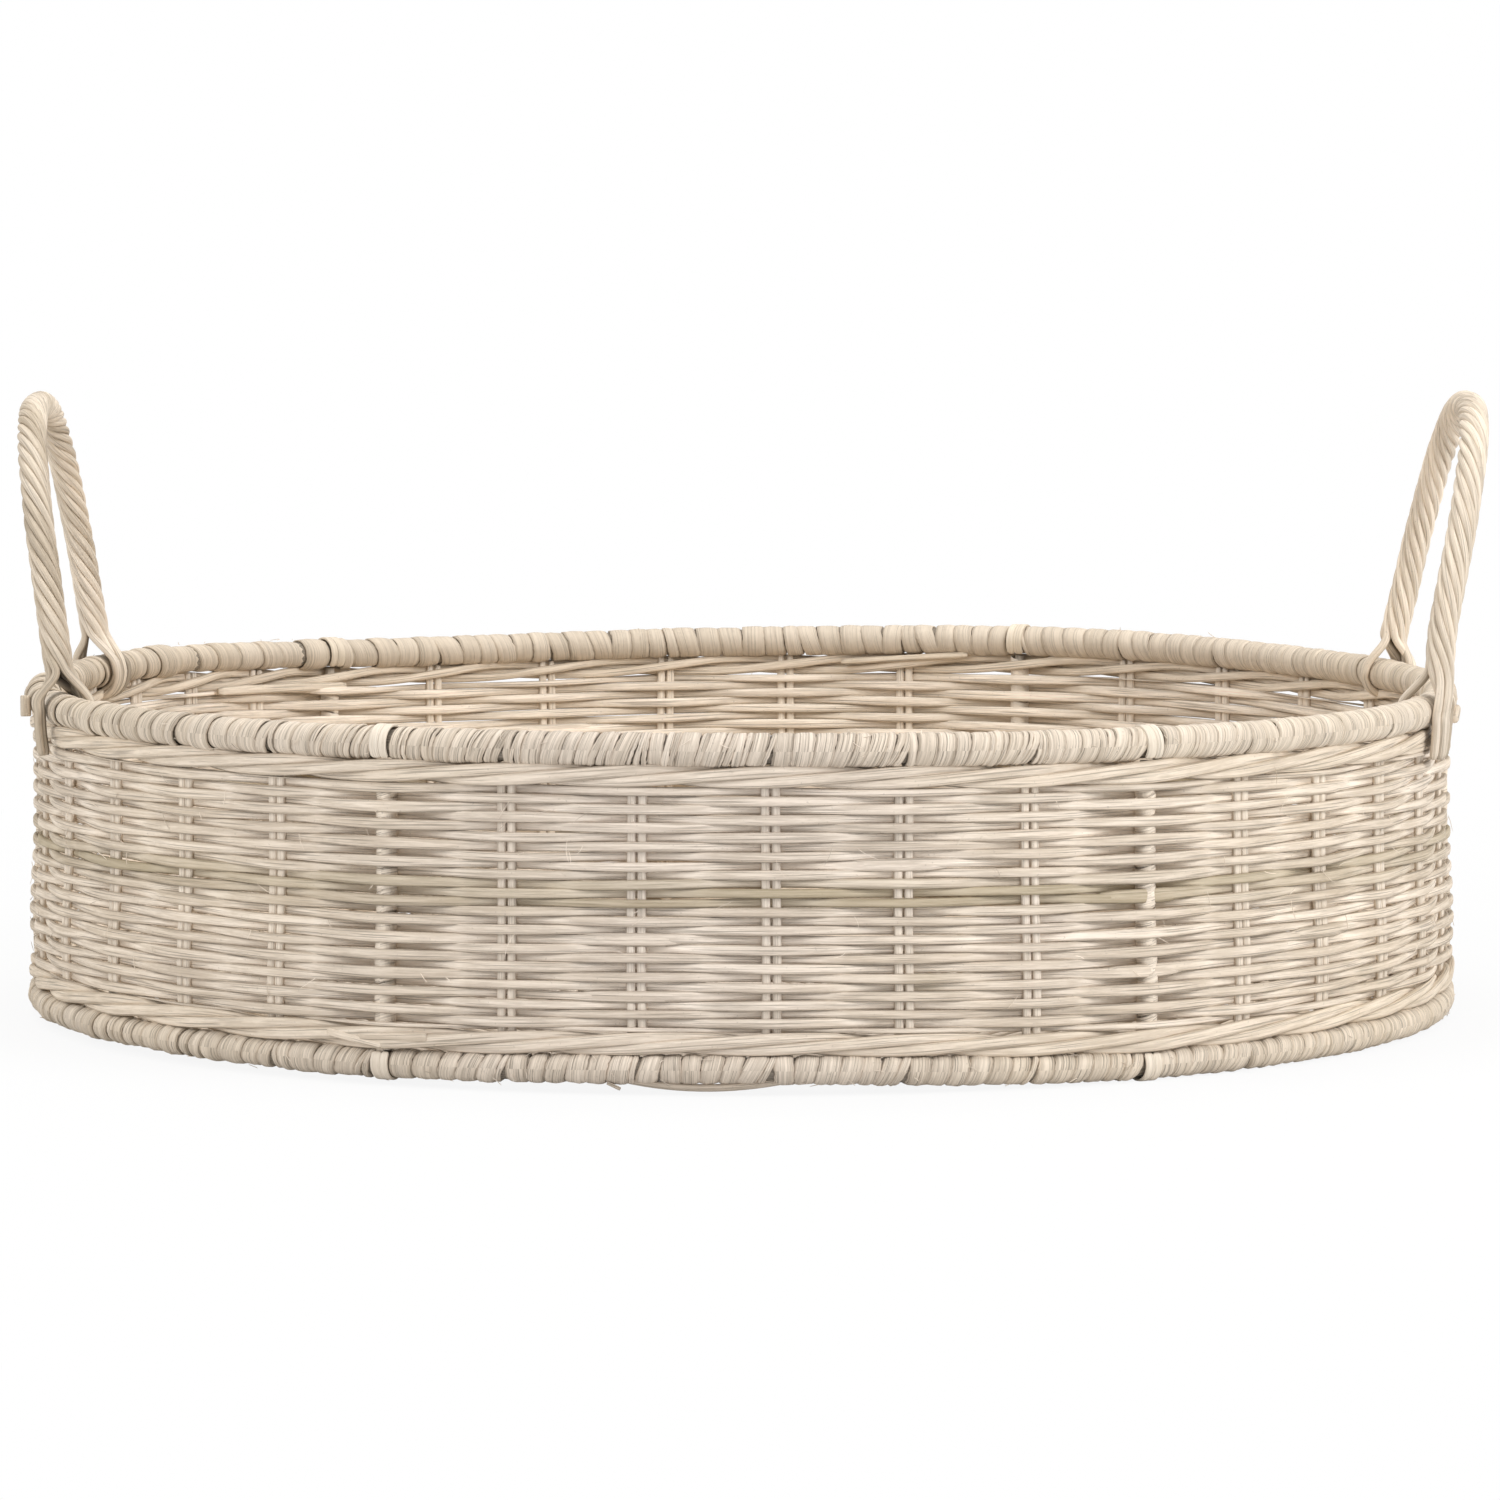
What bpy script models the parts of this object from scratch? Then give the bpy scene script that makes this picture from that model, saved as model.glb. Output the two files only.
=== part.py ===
"""Round wicker tray with two twisted rattan handles.

Two rattan hoops are held apart by six posts. Folded stake rods stand between the
posts, two long weavers wind up the wall round them, and a three-rod wale closes
the weave below and above. A band of rattan peel ties each post to both hoops.
The handles are ropes of twisted rods whose ends straddle the top hoop.

Metres, +Z up, front at -Y. The origin is on the ground, under the tray's centre.
"""

import math

import bmesh
import bpy
from mathutils import Vector

# The whole tray
TRAY_RADIUS = 0.2500  # to the outside of the top hoop
TRAY_HEIGHT = 0.1160  # ground to the top of the top hoop
SEAT_GAP = 0.0003  # between pieces that touch

# Hoops of thick rattan pole
TOP_HOOP_RADIUS = 0.0055
BOTTOM_HOOP_RADIUS = 0.0048
HOOP_SIDES = 8
HOOP_POST_ANGLE = math.radians(7.5)  # of the straight piece of hoop at each post
HOOP_BAY_SEGMENTS = 7  # straight pieces between two of those

# Uprights: thick posts, and thin stake rods folded in half between them
POST_ANGLES = (0.0, 64.5, 129.3, 180.0, 242.0, 302.5)  # degrees from +X
POST_RADIUS = 0.0034
POST_SIDES = 6
STAKES_PER_BAY = 5
STAKE_RADIUS = 0.00115
STAKE_SPREAD = 0.0037  # between the two legs of one folded rod

# Bands of peel round each hoop and post
BAND_WIDTH = 0.0072
BAND_THICKNESS = 0.0008

# Wall weave
ROW_PITCH = 0.00305
WEAVER_HEIGHT = 0.00275
WEAVER_DEPTH = 0.0030
WALE_HEIGHT = 0.0023
WALE_DEPTH = 0.0026
WALE_CLIMB = 0.0052  # rise of a wale rod over the two stakes it passes
WALE_RODS = 3

# Base
SPOKE_ARMS = 18
SPOKE_TURN = math.radians(12.0)  # keeps the arms clear of the bands at the posts
SPOKE_WIDTH = 0.0062
SPOKE_THICKNESS = 0.0024
SPOKE_LIFT = 0.0034  # ground to the underside of the spokes
HUB_RADIUS = 0.0360
HUB_THICKNESS = 0.0022
HUB_SIDES = 24
MAT_THICKNESS = 0.0022
MAT_RAMP_SHARE = 0.8  # run of the mat's slope beside a spoke, of the room between two spokes at the hub
MAT_BAY_CORNERS = 1  # corners of the mat's level stretch between two spokes, besides its ends

# Handles
HANDLE_HALF_SPAN = 0.0790
HANDLE_RISE = 0.1030  # along the handle's slope, hoop centre to rope centre
RIGHT_HANDLE_LEAN = math.radians(11.9)  # outward, from upright
LEFT_HANDLE_LEAN = math.radians(8.6)
HANDLE_SQUARENESS = 2.6  # exponent of the arch: 2 is an ellipse
ROPE_RADIUS = 0.0053
ROPE_VALLEY_RADIUS = 0.0044
ROPE_RIDGES = 4  # each is a pair of the eight rods in the twist
ROPE_STEP = 0.0115  # length of rope between two rings of points
ROPE_TURN = math.radians(34.0)  # how far the twist turns in one step
ARCH_SAMPLES = 720  # points read from the arch's curve before it is cut into even steps
ROPE_FOOT = 0.0062  # rope's end above the top of the hoop
TAIL_ROOT_HALF_WIDTH = 0.0032
TAIL_HALF_WIDTH = 0.0044
TAIL_HALF_THICKNESS = 0.0019
TAIL_SIDES = 6
TAIL_ROOT = 0.0120  # rope's end up to where the tails start inside it
TAIL_ROOT_SHARE = 0.2  # how far apart the tails are there, of their distance beside the hoop
TAIL_SINK = 0.0008  # how deep a tail's inner face still lies in the rope at the rope's end
TAIL_DROP = 0.0145  # hoop centre down to the tails' ends

# Worked out from the above
OCTAGON_SHARE = math.cos(math.pi / HOOP_SIDES)  # flat to centre over corner to centre
TOP_HOOP_FLAT = TOP_HOOP_RADIUS * OCTAGON_SHARE
BOTTOM_HOOP_FLAT = BOTTOM_HOOP_RADIUS * OCTAGON_SHARE
WALL_RADIUS = TRAY_RADIUS - TOP_HOOP_FLAT
HOOP_PATH_RADIUS = WALL_RADIUS / math.cos(HOOP_POST_ANGLE / 2)  # to the hoop's corners in plan
TOP_HOOP_Z = TRAY_HEIGHT - TOP_HOOP_FLAT
BOTTOM_HOOP_Z = BAND_THICKNESS + SEAT_GAP + BOTTOM_HOOP_FLAT
WALL_BOTTOM = BOTTOM_HOOP_Z + BOTTOM_HOOP_FLAT + SEAT_GAP
WALL_TOP = TOP_HOOP_Z - TOP_HOOP_FLAT - SEAT_GAP
WALE_BAND = WALE_CLIMB + WALE_HEIGHT
WEAVE_BOTTOM = WALL_BOTTOM + WALE_BAND + SEAT_GAP + WEAVER_HEIGHT / 2
WEAVE_TOP = WALL_TOP - WALE_BAND - SEAT_GAP - WEAVER_HEIGHT / 2
TURN_RISE = 2 * ROW_PITCH  # two weavers share each turn

RATTAN_COLOUR = (0.68, 0.58, 0.46, 1.0)
WEAVER_COLOUR = (0.62, 0.54, 0.44, 1.0)
HANDLE_COLOUR = (0.70, 0.60, 0.48, 1.0)
PEEL_COLOUR = (0.66, 0.57, 0.46, 1.0)
STRAP_COLOUR = (0.74, 0.67, 0.56, 1.0)
RATTAN_ROUGHNESS = 0.62
PEEL_ROUGHNESS = 0.50
SHARP_ANGLE = math.radians(50.0)
FULL_TURN = 2 * math.pi


def clear_scene():
    for thing in list(bpy.data.objects):
        bpy.data.objects.remove(thing, do_unlink=True)


def make_material(name, colour, roughness):
    material = bpy.data.materials.new(name)
    material.use_nodes = True
    shader = material.node_tree.nodes["Principled BSDF"]
    shader.inputs["Base Color"].default_value = colour
    shader.inputs["Roughness"].default_value = roughness
    shader.inputs["Metallic"].default_value = 0.0
    return material


def finished_mesh(name, builder, material):
    """The mesh of a bmesh, with its faces outward, its material and smooth shading."""
    bmesh.ops.recalc_face_normals(builder, faces=builder.faces)
    mesh = bpy.data.meshes.new(name)
    builder.to_mesh(mesh)
    builder.free()
    mesh.materials.append(material)
    mesh.shade_smooth()
    mesh.set_sharp_from_angle(angle=SHARP_ANGLE)
    return mesh


def place(name, mesh, parent, turned=0.0):
    """The named object, turned about the tray's axis."""
    made = bpy.data.objects.new(name, mesh)
    made.rotation_euler.z = turned
    made.parent = parent
    bpy.context.scene.collection.objects.link(made)
    return made


def add_object(name, builder, parent, material, turned=0.0):
    return place(name, finished_mesh(name, builder, material), parent, turned)


def polygon_section(sides, half_width, half_height, turn_share=0.0):
    """Corners of a flattened polygon; turn_share turns it by that share of one side."""
    return [
        (
            half_width * math.cos(FULL_TURN * (corner + turn_share) / sides),
            half_height * math.sin(FULL_TURN * (corner + turn_share) / sides),
        )
        for corner in range(sides)
    ]


def sweep(path, sections, up_at, closed=False):
    """A rod along path. sections[i] holds (side, up) corners, and up_at(i) the up direction."""
    builder = bmesh.new()
    count = len(path)
    rings = []
    for index, point in enumerate(path):
        before = path[index - 1] if index or closed else point
        after = path[(index + 1) % count] if index + 1 < count or closed else point
        along = (after - before).normalized()
        side = along.cross(up_at(index)).normalized()
        up = side.cross(along)
        rings.append([builder.verts.new(point + side * u + up * v) for u, v in sections[index]])
    for index in range(count if closed else count - 1):
        here = rings[index]
        there = rings[(index + 1) % count]
        for corner in range(len(here)):
            following = (corner + 1) % len(here)
            builder.faces.new((here[corner], here[following], there[following], there[corner]))
    if not closed:
        builder.faces.new(rings[0])
        builder.faces.new(rings[-1])
    return builder


def polar(radius, angle, height):
    return Vector((radius * math.cos(angle), radius * math.sin(angle), height))


def vertical(_index):
    return Vector((0.0, 0.0, 1.0))


def outward(_index):
    return Vector((1.0, 0.0, 0.0))


def upright_places():
    """(angle, is_post) of every upright, once round from +X: each post, then its bay."""
    places = []
    for number, start in enumerate(POST_ANGLES):
        wraps = number + 1 == len(POST_ANGLES)
        end = POST_ANGLES[0] + 360.0 if wraps else POST_ANGLES[number + 1]
        step = (end - start) / (STAKES_PER_BAY + 1)
        for count in range(STAKES_PER_BAY + 1):
            places.append((math.radians(start + count * step), count == 0))
    return places


def least_step():
    """The shortest run of a rod between two uprights."""
    turned = POST_ANGLES[1:] + (POST_ANGLES[0] + 360.0,)
    narrowest = min(end - start for start, end in zip(POST_ANGLES, turned))
    return WALL_RADIUS * math.radians(narrowest) / (STAKES_PER_BAY + 1)


def wall_swing(is_post, rod_depth):
    """How far from the wall's middle a rod passes an upright, so that its slope clears it too."""
    post_clear = POST_RADIUS + SEAT_GAP + rod_depth / 2
    post_swing = post_clear * math.hypot(1.0, 2 * post_clear / least_step())
    if is_post:
        return post_swing
    leg_share = (STAKE_SPREAD / 2 + STAKE_RADIUS) / least_step()
    stake_clear = STAKE_RADIUS + SEAT_GAP + rod_depth / 2
    return (stake_clear + post_swing * leg_share) / (1 - leg_share)


def hoop_angles():
    """Corners of a hoop in plan: a straight piece centred on each post, and equal ones between."""
    angles = []
    for number, start in enumerate(POST_ANGLES):
        wraps = number + 1 == len(POST_ANGLES)
        end = POST_ANGLES[0] + 360.0 if wraps else POST_ANGLES[number + 1]
        first = math.radians(start) + HOOP_POST_ANGLE / 2
        span = math.radians(end - start) - HOOP_POST_ANGLE
        angles += [first + span * i / HOOP_BAY_SEGMENTS for i in range(HOOP_BAY_SEGMENTS + 1)]
    return angles


def hoop_sag():
    """How far the middle of the longest straight piece lies inside the hoop's corners."""
    angles = hoop_angles()
    widest = max(after - before for before, after in zip(angles, angles[1:]))
    return HOOP_PATH_RADIUS * (1 - math.cos(widest / 2))


def hoop_mesh(radius, height):
    """A closed ring of pole with a flat facet up, down, in and out."""
    path = [polar(HOOP_PATH_RADIUS, angle, height) for angle in hoop_angles()]
    section = polygon_section(HOOP_SIDES, radius, radius, 0.5)
    return sweep(path, [section] * len(path), vertical, closed=True)


def post_mesh():
    """A straight pole between the hoops."""
    path = [Vector((WALL_RADIUS, 0.0, WALL_BOTTOM)), Vector((WALL_RADIUS, 0.0, WALL_TOP))]
    section = polygon_section(POST_SIDES, POST_RADIUS, POST_RADIUS)
    return sweep(path, [section] * len(path), outward)


def stake_mesh():
    """A rod folded in half: the fold rests on the bottom hoop and both legs reach the top one."""
    half = STAKE_SPREAD / 2
    fold = WALL_BOTTOM + STAKE_RADIUS
    bend = fold + half
    points = ((-half, WALL_TOP), (-half, bend), (0.0, fold), (half, bend), (half, WALL_TOP))
    path = [Vector((WALL_RADIUS, across, height)) for across, height in points]
    section = polygon_section(4, STAKE_RADIUS, STAKE_RADIUS)
    return sweep(path, [section] * len(path), outward)


def band_mesh(hoop_radius, hoop_z, facing):
    """A strip of peel bent round a hoop, open on the side of the post; facing is 1 over, -1 under."""
    corner_radius = hoop_radius + (SEAT_GAP + BAND_THICKNESS / 2) / OCTAGON_SHARE
    flat_radius = corner_radius * OCTAGON_SHARE
    # Both ends stop half way along the facets that slope towards the post
    bends = [(-1.0, flat_radius)]
    bends += [(step - 0.5, corner_radius) for step in range(HOOP_SIDES - 2)]
    bends += [(HOOP_SIDES - 3.0, flat_radius)]
    path = []
    for step, radius in bends:
        lean = FULL_TURN * step / HOOP_SIDES
        height = hoop_z + facing * radius * math.sin(lean)
        path.append(Vector((WALL_RADIUS + radius * math.cos(lean), 0.0, height)))
    section = [
        (-BAND_THICKNESS / 2, -BAND_WIDTH / 2),
        (BAND_THICKNESS / 2, -BAND_WIDTH / 2),
        (BAND_THICKNESS / 2, BAND_WIDTH / 2),
        (-BAND_THICKNESS / 2, BAND_WIDTH / 2),
    ]
    stretched = [(u / OCTAGON_SHARE, v) for u, v in section]
    sections = [section] + [stretched] * (len(path) - 2) + [section]
    return sweep(path, sections, lambda _i: Vector((0.0, 1.0, 0.0)))


def weaver_mesh(first_place, places):
    """A long rod that winds up the wall, outside one upright and inside the next."""
    section = polygon_section(4, WEAVER_DEPTH / 2, WEAVER_HEIGHT / 2)
    first_angle = places[first_place][0]
    path = []
    index = first_place
    while True:
        angle, is_post = places[index % len(places)]
        angle += FULL_TURN * (index // len(places))
        height = WEAVE_BOTTOM + TURN_RISE * (angle - first_angle) / FULL_TURN
        if height > WEAVE_TOP:
            break
        outside = 1.0 if (index + (first_place > 0)) % 2 == 0 else -1.0
        swing = outside * wall_swing(is_post, WEAVER_DEPTH)
        path.append(polar(WALL_RADIUS + swing, angle, height))
        index += 1
    return sweep(path, [section] * len(path), vertical)


def wale_mesh(middle_z, places):
    """Rods spliced end to end and wound three times: over two uprights, rising, and behind the third."""
    section = polygon_section(4, WALE_DEPTH / 2, WALE_HEIGHT / 2)
    path = []
    for turn in range(WALE_RODS):
        for index, (angle, is_post) in enumerate(places):
            phase = (index + turn) % WALE_RODS
            swing = wall_swing(is_post, WALE_DEPTH)
            outside, climb = ((swing, -0.5), (swing, 0.5), (-swing, 0.0))[phase]
            path.append(polar(WALL_RADIUS + outside, angle, middle_z + climb * WALE_CLIMB))
    return sweep(path, [section] * len(path), vertical)


def base_edge_radius():
    """As far out as the base reaches inside the bottom hoop."""
    return HOOP_PATH_RADIUS - hoop_sag() - BOTTOM_HOOP_FLAT - SEAT_GAP


def spokes_mesh():
    """Double spokes crossed and bound at the centre, as one star."""
    builder = bmesh.new()
    reach = base_edge_radius()
    outline = []
    for arm in range(SPOKE_ARMS):
        angle = SPOKE_TURN + FULL_TURN * arm / SPOKE_ARMS
        across = polar(SPOKE_WIDTH / 2, angle + math.pi / 2, 0.0)
        root = math.sqrt(HUB_RADIUS**2 - (SPOKE_WIDTH / 2) ** 2)
        for radius, side in ((root, -1), (reach, -1), (reach, 1), (root, 1)):
            outline.append(builder.verts.new(polar(radius, angle, SPOKE_LIFT) + side * across))
    face = builder.faces.new(outline)
    grown = bmesh.ops.extrude_face_region(builder, geom=[face])
    lifted = [part for part in grown["geom"] if isinstance(part, bmesh.types.BMVert)]
    bmesh.ops.translate(builder, verts=lifted, vec=(0.0, 0.0, SPOKE_THICKNESS))
    return builder


def hub_mesh():
    """The flat woven centre that locks the spokes."""
    builder = bmesh.new()
    bottom = SPOKE_LIFT + SPOKE_THICKNESS + SEAT_GAP
    rim = [
        builder.verts.new(polar(HUB_RADIUS, FULL_TURN * corner / HUB_SIDES, bottom))
        for corner in range(HUB_SIDES)
    ]
    face = builder.faces.new(rim)
    grown = bmesh.ops.extrude_face_region(builder, geom=[face])
    lifted = [part for part in grown["geom"] if isinstance(part, bmesh.types.BMVert)]
    bmesh.ops.translate(builder, verts=lifted, vec=(0.0, 0.0, HUB_THICKNESS))
    return builder


def mat_corners(radius, ramp):
    """(angle, over) of the mat's corners at a radius; over is true where it passes above a spoke."""
    edge = SPOKE_WIDTH / 2 + SEAT_GAP
    step = FULL_TURN / SPOKE_ARMS
    foot = math.asin((edge + ramp) / radius)
    corners = []
    for arm in range(SPOKE_ARMS):
        angle = SPOKE_TURN + arm * step
        corners += [(angle - math.asin(edge / radius), True), (angle + math.asin(edge / radius), True)]
        level = step - 2 * foot
        for count in range(MAT_BAY_CORNERS + 2):
            corners.append((angle + foot + level * count / (MAT_BAY_CORNERS + 1), False))
    return corners


def mat_mesh():
    """The woven mat from the hub to the bottom hoop: level with the spokes, and raised over each of them."""
    builder = bmesh.new()
    edge = SPOKE_WIDTH / 2 + SEAT_GAP
    inner = math.hypot(HUB_RADIUS + SEAT_GAP, edge)
    outer = base_edge_radius() - BAND_THICKNESS / OCTAGON_SHARE - SEAT_GAP
    ramp = MAT_RAMP_SHARE * (inner * math.sin(math.pi / SPOKE_ARMS) - edge)
    raised = SPOKE_LIFT + SPOKE_THICKNESS + SEAT_GAP
    level = SPOKE_LIFT + (SPOKE_THICKNESS - MAT_THICKNESS) / 2
    shell = []
    for radius, rise in ((inner, 0.0), (outer, 0.0), (outer, MAT_THICKNESS), (inner, MAT_THICKNESS)):
        loop = []
        for angle, over in mat_corners(radius, ramp):
            height = (raised if over else level) + rise
            loop.append(builder.verts.new(polar(radius, angle, height)))
        shell.append(loop)
    for ring in range(len(shell)):
        here, there = shell[ring], shell[(ring + 1) % len(shell)]
        for corner in range(len(here)):
            following = (corner + 1) % len(here)
            builder.faces.new((here[corner], here[following], there[following], there[corner]))
    return builder


def arch_outline(steps):
    """(across, rise) along the handle's arch, dense, from one foot to the other."""
    power = 2.0 / HANDLE_SQUARENESS
    outline = []
    for step in range(steps + 1):
        turn = math.pi * step / steps
        cosine, sine = math.cos(turn), math.sin(turn)
        across = HANDLE_HALF_SPAN * math.copysign(abs(cosine) ** power, cosine)
        outline.append((across, HANDLE_RISE * max(sine, 0.0) ** power))
    return outline


def arch_path(foot_rise, lean):
    """Points of the rope's centre at even steps, from foot_rise above the hoop's centre."""
    dense = [point for point in arch_outline(ARCH_SAMPLES) if point[1] >= foot_rise]
    lengths = [0.0]
    for (a, b), (c, d) in zip(dense, dense[1:]):
        lengths.append(lengths[-1] + math.hypot(c - a, d - b))
    steps = max(2, round(lengths[-1] / ROPE_STEP))
    path = []
    index = 0
    for step in range(steps + 1):
        wanted = lengths[-1] * step / steps
        while index + 2 < len(lengths) and lengths[index + 1] < wanted:
            index += 1
        share = (wanted - lengths[index]) / (lengths[index + 1] - lengths[index])
        across, rise = (
            dense[index][axis] * (1 - share) + dense[index + 1][axis] * share for axis in (0, 1)
        )
        path.append(handle_point(across, rise, lean))
    return path


def handle_point(across, rise, lean):
    """A point in the plane of a handle at +X: across runs along +Y and rise up its slope."""
    foot = math.sqrt(WALL_RADIUS**2 - HANDLE_HALF_SPAN**2)
    return Vector((foot + rise * math.sin(lean), across, TOP_HOOP_Z + rise * math.cos(lean)))


def tail_mesh(side, face, lean):
    """Half of the rods of one leg, from inside the rope down the hoop's outer (1) or inner (-1) face."""
    foot = handle_point(side * HANDLE_HALF_SPAN, 0.0, lean)
    angle = math.atan2(foot.y, foot.x)
    radial = polar(1.0, angle, 0.0)
    half_depth = TAIL_HALF_THICKNESS * math.cos(math.pi / TAIL_SIDES)
    wander = HOOP_PATH_RADIUS - WALL_RADIUS
    if face < 0:
        wander = hoop_sag() - wander
    beside = TOP_HOOP_FLAT + SEAT_GAP + half_depth + wander
    in_rope = ROPE_VALLEY_RADIUS * math.cos(math.pi / (2 * ROPE_RIDGES)) - TAIL_SINK + half_depth
    wall_depth = wall_swing(False, WEAVER_DEPTH) + WEAVER_DEPTH / 2 + SEAT_GAP + TAIL_HALF_THICKNESS
    rope_end = TOP_HOOP_RADIUS + ROPE_FOOT
    root = polygon_section(TAIL_SIDES, TAIL_ROOT_HALF_WIDTH, TAIL_HALF_THICKNESS)
    full = polygon_section(TAIL_SIDES, TAIL_HALF_WIDTH, TAIL_HALF_THICKNESS)
    # The rise of each point, its offset from the hoop's centre line, how much it leans, and its section
    stations = (
        (rope_end + TAIL_ROOT, TAIL_ROOT_SHARE * beside, 1.0, root),
        (rope_end, in_rope, 1.0, root),
        (TOP_HOOP_RADIUS, beside, 0.0, full),
        (-TOP_HOOP_RADIUS, beside, 0.0, full),
        (-TAIL_DROP, wall_depth + wander, 0.0, root),
    )
    path = []
    for rise, offset, lean_share, _section in stations:
        point = foot + face * offset * radial + Vector((0.0, 0.0, rise))
        path.append(point + Vector((lean_share * rise * math.tan(lean), 0.0, 0.0)))
    return sweep(path, [station[-1] for station in stations], lambda _i: radial)


def rope_mesh(lean):
    """The twisted rope of a handle at +X, bent to its arch."""
    path = arch_path(TOP_HOOP_RADIUS + ROPE_FOOT, lean)
    corners = 2 * ROPE_RIDGES
    sections = []
    for ring in range(len(path)):
        section = []
        for corner in range(corners):
            radius = ROPE_VALLEY_RADIUS if corner % 2 else ROPE_RADIUS
            turn = FULL_TURN * corner / corners + ROPE_TURN * ring
            section.append((radius * math.cos(turn), radius * math.sin(turn)))
        sections.append(section)
    facing = Vector((math.cos(lean), 0.0, -math.sin(lean)))
    return sweep(path, sections, lambda _i: facing)


def make_handle(name, lean, material, parent, turned):
    """A rope joined to the four tails that straddle the hoop."""
    handle = place(name, finished_mesh(name, rope_mesh(lean), material), parent, turned)
    for side in (-1, 1):
        for face in (-1, 1):
            tail_name = f"{name}_tail_{side}_{face}"
            tail = add_object(tail_name, tail_mesh(side, face, lean), parent, material, turned)
            tail.hide_render = True
            tail.display_type = "WIRE"
            joint = handle.modifiers.new(tail_name, "BOOLEAN")
            joint.operation = "UNION"
            joint.solver = "EXACT"
            joint.object = tail


def main():
    clear_scene()
    tray = bpy.data.objects.new("wicker_tray", None)
    bpy.context.scene.collection.objects.link(tray)
    places = upright_places()
    peel = make_material("hoop_binding", PEEL_COLOUR, PEEL_ROUGHNESS)
    add_object("top_hoop", hoop_mesh(TOP_HOOP_RADIUS, TOP_HOOP_Z), tray, peel)
    add_object("bottom_hoop", hoop_mesh(BOTTOM_HOOP_RADIUS, BOTTOM_HOOP_Z), tray, peel)

    strap = make_material("post_straps", STRAP_COLOUR, PEEL_ROUGHNESS)
    top_band = finished_mesh("top_band", band_mesh(TOP_HOOP_RADIUS, TOP_HOOP_Z, 1), strap)
    bottom_band = finished_mesh("bottom_band", band_mesh(BOTTOM_HOOP_RADIUS, BOTTOM_HOOP_Z, -1), strap)
    post = finished_mesh("post", post_mesh(), make_material("post_wrap", PEEL_COLOUR, PEEL_ROUGHNESS))
    stake = finished_mesh("stake", stake_mesh(), make_material("stake_rod", RATTAN_COLOUR, RATTAN_ROUGHNESS))
    for number, angle in enumerate((angle for angle, is_post in places if is_post), 1):
        place(f"post_{number}", post, tray, angle)
        place(f"top_band_{number}", top_band, tray, angle)
        place(f"bottom_band_{number}", bottom_band, tray, angle)
    for number, angle in enumerate((angle for angle, is_post in places if not is_post), 1):
        place(f"stake_{number:02d}", stake, tray, angle)

    weaving = make_material("weaver_rod", WEAVER_COLOUR, RATTAN_ROUGHNESS)
    add_object("weaver_a", weaver_mesh(0, places), tray, weaving)
    add_object("weaver_b", weaver_mesh(len(places) // 2, places), tray, weaving)
    waling = make_material("wale_rod", RATTAN_COLOUR, RATTAN_ROUGHNESS)
    add_object("bottom_wale", wale_mesh(WALL_BOTTOM + WALE_BAND / 2, places), tray, waling)
    add_object("top_wale", wale_mesh(WALL_TOP - WALE_BAND / 2, places), tray, waling)

    base = make_material("base_cane", WEAVER_COLOUR, RATTAN_ROUGHNESS)
    add_object("base_spokes", spokes_mesh(), tray, base)
    add_object("base_hub", hub_mesh(), tray, base)
    add_object("base_mat", mat_mesh(), tray, base)

    twist = make_material("handle_rods", HANDLE_COLOUR, RATTAN_ROUGHNESS)
    make_handle("handle_right", RIGHT_HANDLE_LEAN, twist, tray, 0.0)
    make_handle("handle_left", LEFT_HANDLE_LEAN, twist, tray, math.pi)


main()
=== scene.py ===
"""Looks of the round wicker tray: its rods, windings, handles and woven base.

Metres, +Z up, front at -Y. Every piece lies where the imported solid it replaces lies.
"""

import math

import bpy
import numpy as np
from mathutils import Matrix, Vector


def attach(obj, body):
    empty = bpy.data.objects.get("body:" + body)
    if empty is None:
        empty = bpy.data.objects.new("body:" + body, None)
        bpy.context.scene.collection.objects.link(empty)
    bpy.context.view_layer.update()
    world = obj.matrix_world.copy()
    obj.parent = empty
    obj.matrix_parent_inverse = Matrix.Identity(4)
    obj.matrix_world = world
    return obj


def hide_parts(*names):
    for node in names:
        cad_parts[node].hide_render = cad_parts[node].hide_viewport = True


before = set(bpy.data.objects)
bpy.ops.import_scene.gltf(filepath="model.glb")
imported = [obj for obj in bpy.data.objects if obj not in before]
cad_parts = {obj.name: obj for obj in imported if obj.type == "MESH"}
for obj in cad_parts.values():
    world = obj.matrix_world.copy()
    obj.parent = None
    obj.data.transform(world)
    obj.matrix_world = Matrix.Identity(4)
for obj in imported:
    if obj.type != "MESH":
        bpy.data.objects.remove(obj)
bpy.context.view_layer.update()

# Sizes of the tray, as in its solids
WALL_RADIUS = 0.24492
TOP_HOOP_Z, TOP_HOOP_RADIUS = 0.11092, 0.0055
BOTTOM_HOOP_Z, BOTTOM_HOOP_RADIUS = 0.00553, 0.0048
WALL_BOTTOM, WALL_TOP = 0.01027, 0.10554
POST_ANGLES = (0.0, 64.5, 129.3, 180.0, 242.0, 302.5)
POST_RADIUS = 0.0031
STAKES_PER_BAY = 5
STAKE_DEPTH, STAKE_WIDTH = 0.0010, 0.00142  # half sizes of one leg
STAKE_SPREAD = 0.0035
THICK_STAKES_FROM = 0.48  # a stake whose angle has a greater cosine stands at one of the tray's two ends
ROW_PITCH = 0.00305
TURN_RISE = 2 * ROW_PITCH
WEAVE_BOTTOM, WEAVE_TOP = 0.01945, 0.09667
WEAVER_DEPTH, WEAVER_HEIGHT = 0.0011, 0.00165  # half sizes
HALF_ROD_BAYS = (11, 23)  # half the number of bays that one spliced rod of a weaver passes
SPLICE_OVERLAP = 0.42  # of a bay, at each end of a rod
SPLICE_SLIP, SPLICE_LIFT = 0.0011, 0.0003  # how far the hidden end moves inwards and up
FLOAT_JOG = 0.00018  # up or down
BAY_STEP = 0.125  # of a bay, between points along a rod
WALE_BAND = 0.0075
WALE_CLIMB = 0.0036
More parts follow.
